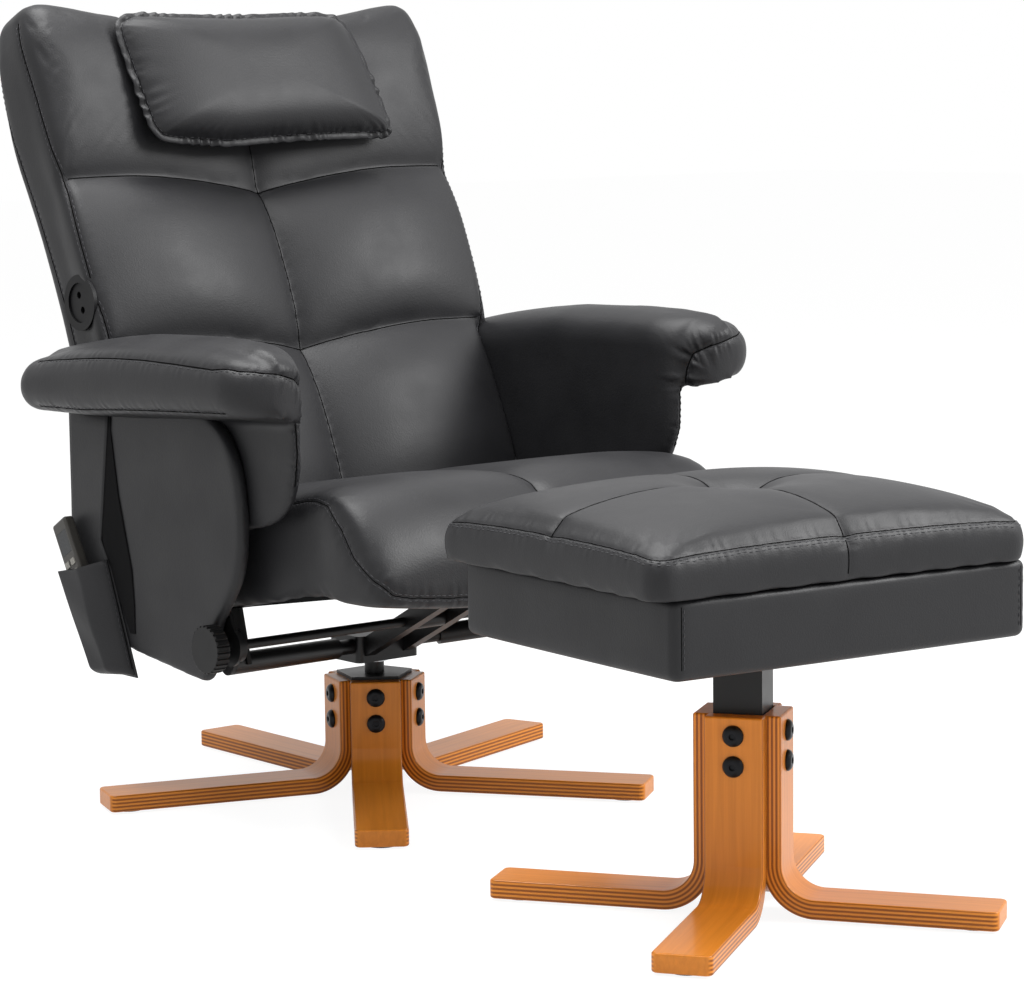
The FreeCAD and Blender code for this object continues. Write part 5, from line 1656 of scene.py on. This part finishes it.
@dataclass
class StoolBox:
    """The footstool's padded box: four walls in one leather cover, round at the corners and the foot."""

    half_wide: float = 232.5
    half_deep: float = 189.5
    low: float = 301.5
    high: float = 384.0
    wall: float = 21.0
    corner: float = 13.0
    foot: float = 10.0
    brim: float = 8.0
    wall_ends: Pair = (14.0, 16.0)
    swell: Pair = (1.2, 2.0)
    lip: float = 2.0
    corner_least: float = 2.0
    seam_inset: float = 9.0
    seam_out: float = 1.0
    seam_ends: Pair = (6.0, 10.0)
    row: float = 2.6

    def ring(self, inset: float, z: float, swell: float) -> list[Vector]:
        """One level of the box, as a rounded rectangle with slightly full sides.

        Args:
            inset: How far the level is drawn in, in millimetres.
            z: Its height, in millimetres.
            swell: How full its sides are.

        Returns:
            Its points, in metres of the row.
        """
        corner = max(self.corner_least, self.corner - inset)
        loop = boxed(self.half_wide - inset, self.half_deep - inset, corner, 30, swell)
        return [STOOL.point(x, y, z) for x, y in loop]

    def build(self) -> None:
        """Makes the cover and its corner seams."""
        turns = np.linspace(0, QUARTER, 6)
        edge, middle = self.swell
        levels = []
        for turn in turns[::-1]:
            inset, drop = turned(self.brim, turn)
            levels.append((inset, self.high - drop, edge))
        for z in np.linspace(self.high - self.wall_ends[0], self.low + self.wall_ends[1], 7):
            levels.append((0.0, z, middle))
        for turn in turns:
            inset, rise = turned(self.foot, turn)
            levels.append((inset, self.low + rise, edge))
        levels += [(self.wall, self.low, 0), (self.wall, self.high - self.lip, 0)]
        levels.append((self.wall - self.lip, self.high, 0))
        cover = lofted("box_cover", [self.ring(*level)[::-1] for level in levels], closed=True)
        subdivided(cover)
        seams = []
        for sx, sy in ((1, 1), (1, -1), (-1, 1), (-1, -1)):
            x = sx * (self.half_wide - self.seam_inset)
            y = sy * (self.half_deep + self.seam_out)
            heights = np.linspace(self.high - self.seam_ends[0], self.low + self.seam_ends[1], 12)
            line = [STOOL.point(x, y, z) for z in heights]
            seams.append(Seam(line, depth=0.8, width=4, rows=(-self.row * sx * sy,), pucker=0.3, line=0.5))
        sewn(cover, seams, "footstool", "box_seams")
        dressed(cover, "footstool", 0.9, "stool_walls")


@dataclass
class StoolLid:
    """The footstool's lid cushion: a boxed border, a crowned top sewn in four and a centre tuft."""

    shift: float = -15.0
    half_wide: float = 246.0
    half_deep: float = 199.0
    low: float = 384.4
    floor_rings: tuple[Pair, ...] = ((119.4, 0), (60, 0), (18, 0), (10, 0.5))
    border: float = 46.0
    border_start: float = 2.0
    belly: float = 3.0
    draw: float = 2.0
    lip: float = 3.5
    lip_reach: float = 30.0
    top_inset: float = 6.0
    crown: float = 48.0
    edge: float = 0.28
    corner: float = 24.0
    corner_least: float = 6.0
    side_bow: float = -4.0
    tuft: float = 36.0
    tuft_reach: float = 36.0
    dish: float = 5.0
    dish_reach: float = 120.0
    hang: float = 6.0
    hang_back: float = 0.35
    around: int = 76
    cross_inset: float = 10.0
    rim_inset: float = 5.0
    rim_lift: float = 1.0
    rim_rows: Pair = (3.0, 6.2)
    seam_out: float = 2.0
    seam_end: float = 4.0
    firm_fall: Pair = (10.0, 4.0)
    voxel: float = 5.0
    cap: float = 6.0

    def outline(self, inset: float) -> list[Pair]:
        """The lid's outline, drawn in by an inset, its sides pulled in between the corners."""
        corner = max(self.corner_least, self.corner - inset * 0.1)
        return boxed(self.half_wide - inset, self.half_deep - inset, corner, self.around, self.side_bow)

    def droop(self, x: float, y: float) -> float:
        """How far the cover hangs at its corners, and stands up between them.

        Args:
            x: Millimetres across from the lid's middle.
            y: Millimetres forward or back from the lid's middle.

        Returns:
            Millimetres down, less than zero where it stands up.
        """
        across = abs(x) / self.half_wide
        deep = abs(y) / self.half_deep
        return self.hang * ((across * deep) ** 3 - self.hang_back * max(across, deep) ** 4)

    def spot(self, x: float, y: float, z: float) -> Vector:
        """A point of the lid, in metres of the row."""
        return STOOL.point(self.shift + x, y, z)

    def top(self, x: float, y: float) -> float:
        """The crowned top's height over the border's seam at a place.

        Args:
            x: Millimetres across from the lid's middle.
            y: Millimetres forward or back from the lid's middle.

        Returns:
            Millimetres over the seam.
        """
        across = abs(x) / self.half_wide
        deep = abs(y) / self.half_deep
        shoulder = math.sqrt(max(0, 1 - across**8) * max(0, 1 - deep**8))
        dome = max(0, 1 - across**2.2) * max(0, 1 - deep**2.2)
        full = self.crown * (self.edge * shoulder + (1 - self.edge) * dome)
        away = math.hypot(x, y)
        dent = self.tuft * math.exp(-((away / self.tuft_reach) ** 1.5))
        dent += self.dish * math.exp(-((away / self.dish_reach) ** 2))
        return max(0.0, full - dent) - self.droop(x, y)

    def skin(self) -> Item:
        """The lid's cover.

        Returns:
            The piece.
        """
        rings = []
        for inset, rise in self.floor_rings:
            rings.append([self.spot(x, y, self.low + rise) for x, y in self.outline(inset)])
        for share in np.linspace(0, 1, 9):
            inset = self.belly - self.belly * math.sin(math.pi * share) ** 0.8 + self.draw * share**3
            height = self.low + self.border_start + (self.border - self.border_start) * share
            ring = []
            for x, y in self.outline(inset):
                lipped = x < 0 or abs(y) > self.half_deep - self.lip_reach
                lip = self.lip * max(0.0, 1 - share * 2.5) * lipped
                ring.append(self.spot(x, y, height - self.droop(x, y) * share - lip))
            rings.append(ring)
        for share in np.linspace(0, 1, 46)[1:]:
            scale = 1 - share**1.15 * 0.985
            ring = []
            for x, y in self.outline(self.top_inset):
                flat = -self.droop(x * scale, y * scale)
                rise = flat + (self.top(x * scale, y * scale) - flat) * min(1, share * 9)
                ring.append(self.spot(x * scale, y * scale, self.low + self.border + rise))
            rings.append(ring)
        return lofted("lid_cover", rings)

    def seams(self) -> list[Seam]:
        """The cross seams, the seam round the top and the seams down the border.

        Returns:
            The seams, in the order they are sewn.
        """
        made = []
        seam = self.low + self.border
        for half, way in ((self.half_wide, (1, 0)), (self.half_deep, (0, 1))):
            reach = half - self.cross_inset
            line = []
            for along in np.linspace(-reach, reach, 60):
                x = along * way[0]
                y = along * way[1]
                line.append(self.spot(x, y, seam + self.top(x, y)))
            made.append(Seam(line, depth=3.5, width=9, line=0.7, cast=Vector((0, 0, -1))))
        rim = []
        for x, y in self.outline(self.rim_inset):
            rim.append(self.spot(x, y, seam + self.rim_lift - self.droop(x, y)))
        made.append(Seam(rim + rim[:1], **EDGE_SEAM, rows=self.rim_rows, pucker=0.5, line=0.6))
        for sign in (-1, 1):
            y = sign * (self.half_deep + self.seam_out)
            line = [self.spot(0, y, z) for z in np.linspace(seam, self.low + self.seam_end, 10)]
            made.append(Seam(line, depth=1.5, width=5, pucker=0.5, line=0.6))
        return made

    def build(self) -> None:
        """Makes the lid's cover, stuffs it and sews it."""
        cover = self.skin()
        remeshed(cover, self.voxel, 2)
        firm = ramp(places_of(cover)[:, 2] / MM - self.low, self.firm_fall)
        stuffed(cover, self.seams(), 8, firm, 3.0, self.cap)
        sewn(cover, self.seams(), "lid", "lid_seams")
        dressed(cover, "lid", 0.65, "lid_cushion")


@dataclass
class Hardware:
    """The rigid nodes, which keep their CAD shapes and take their finishes."""

    wood: str = "#d6842c"
    varnish: float = 0.35
    chair_legs: int = 5
    chair_heading: float = 90.0
    stool_legs: int = 4
    stool_heading: float = 33.53
    stool_bend: Pair = (84.0, 60.0)

    def legs(self) -> None:
        """Gives each bent leg a plywood that follows its own line."""
        rows = (
            ("chair", "", self.chair_legs, self.chair_heading, COLUMN, BentPlywood.bend),
            ("stool", "stool ", self.stool_legs, self.stool_heading, STOOL, self.stool_bend),
        )
        for word, mark, count, first, base, bend in rows:
            for number in range(1, count + 1):
                name = f"varnished bent plywood {mark}{number}"
                heading = first + 360 / count * (number - 1)
                stand = base.origin[:2]
                ply = BentPlywood(name, self.wood, self.varnish, stand=stand, heading=heading, bend=bend)
                self.finish(f"{word}_leg_{number}", ply)

    @staticmethod
    def finish(node: str, finish: Finish) -> None:
        """Puts one finish on a CAD node.

        Args:
            node: The node's name.
            finish: The finish to put on it.
        """
        mesh = frame["nodes"][node].data
        mesh.materials.clear()
        mesh.materials.append(finish.material())
        LOG.info("%s keeps its shape, in %s", node, finish.name)

    def build(self) -> None:
        """Finishes every node by its slot, then the legs."""
        for entry in frame["record"]["subparts"]:
            slot = entry.get("material_slot")
            if slot in SLOTS:
                self.finish(entry["node"], SLOTS[slot])
        self.finish("seat_pan", DUST_COVER_AND_SHADE_CLOTH)
        self.legs()


@dataclass
class Studio:
    """The pale floor, the soft lamps, the white room and the camera."""

    camera: Triple = (-2476.0, -2973.0, 892.0)
    target: Triple = (13.54, 227.0, 376.47)
    roll: float = -0.88
    focal: float = 3284.2
    centre: Pair = (428.4, 500.04)
    picture: tuple[int, int] = (1024, 982)
    floor_half: float = 20.0
    floor_glow: float = 1.12
    floor_share: float = 0.82
    ambient: float = 0.45
    middle: Triple = (0.0, 0.0, 0.45)
    lamps: tuple = (
        ("key lamp", (2.1, -2.3, 2.5), 1.8, 150.0),
        ("top lamp", (-0.4, 0.3, 3.4), 2.4, 190.0),
    )

    @staticmethod
    def seen(tree: Tree) -> Node:
        """Tells the rays that look at the background, straight or by gloss or glass.

        Args:
            tree: The world's node tree.

        Returns:
            The node that gives 1 for those rays and 0 for others.
        """
        path = add(tree, "LightPath").outputs
        bent = {0: path["Is Glossy Ray"], 1: path["Is Transmission Ray"]}
        gloss = add(tree, "Math", bent, operation="MAXIMUM")
        return add(tree, "Math", {0: path["Is Camera Ray"], 1: gloss}, operation="MAXIMUM")

    def room(self) -> None:
        """The white room: even light, and plain white to the camera."""
        world = bpy.data.worlds.new("white room")
        bpy.context.scene.world = world
        world.use_nodes = True
        tree = world.node_tree
        tree.nodes.clear()
        light = add(tree, "Background", {"Color": linear("#ffffff"), "Strength": self.ambient})
        white = add(tree, "Background", {"Color": linear("#ffffff"), "Strength": 1.0})
        mixed = add(tree, "MixShader", {0: self.seen(tree), 1: light, 2: white})
        add(tree, "OutputWorld", {"Surface": mixed})

    def floor(self) -> None:
        """The pale floor, which keeps a soft shadow."""
        half = self.floor_half
        corners = [(-half, -half, 0), (half, -half, 0), (half, half, 0), (-half, half, 0)]
        item = new_piece("studio_floor", corners, [(0, 1, 2, 3)])
        made = bpy.data.materials.new("painted studio floor")
        made.use_nodes = True
        tree = made.node_tree
        tree.nodes.clear()
        paint = add(tree, "BsdfDiffuse", {"Color": linear("#f2f2f2")})
        glow = add(tree, "Emission", {"Color": linear("#ffffff"), "Strength": self.floor_glow})
        white = add(tree, "Math", {0: self.seen(tree), 1: self.floor_share}, operation="MULTIPLY")
        mixed = add(tree, "MixShader", {0: white, 1: paint, 2: glow})
        add(tree, "OutputMaterial", {"Surface": mixed})
        item.data.materials.append(made)

    def light(self) -> None:
        """The soft lamps, each turned to the middle of the object."""
        for name, place, size, power in self.lamps:
            lamp = bpy.data.lights.new(name, "AREA")
            lamp.energy = power
            lamp.size = size
            item = bpy.data.objects.new(name, lamp)
            item.location = place
            item.rotation_euler = (Vector(self.middle) - Vector(place)).to_track_quat("-Z", "Y").to_euler()
            bpy.context.scene.collection.objects.link(item)

    def shoot(self) -> None:
        """Sets the camera where the photograph was taken from."""
        lens = bpy.data.cameras.new("photograph")
        wide = self.picture[0]
        lens.lens = lens.sensor_width * self.focal / wide
        lens.shift_x = (wide / 2 - self.centre[0]) / wide
        lens.shift_y = (self.centre[1] - self.picture[1] / 2) / wide
        item = bpy.data.objects.new("photograph", lens)
        start = Vector(self.camera) * MM
        aim = (Vector(self.target) * MM - start).to_track_quat("-Z", "Y").to_matrix().to_4x4()
        item.matrix_world = Matrix.Translation(start) @ aim @ Matrix.Rotation(math.radians(self.roll), 4, "Z")
        bpy.context.scene.collection.objects.link(item)
        bpy.context.scene.camera = item

    def build(self) -> None:
        """Sets up the studio."""
        self.room()
        self.floor()
        self.light()
        self.shoot()
        bpy.context.scene.view_settings.view_transform = "Standard"


def main() -> None:
    """Builds every sub-assembly in order."""
    logging.basicConfig(level=logging.INFO, format="%(name)s: %(message)s")
    Studio().build()
    Hardware().build()
    Backrest().build()
    SeatCushion().build()
    for side in Side:
        Arm(side).build()
        SidePanel(side).build()
    HeadPillow().build()
    SidePocket().build()
    StoolBox().build()
    StoolLid().build()


if __name__ == "__main__":
    main()
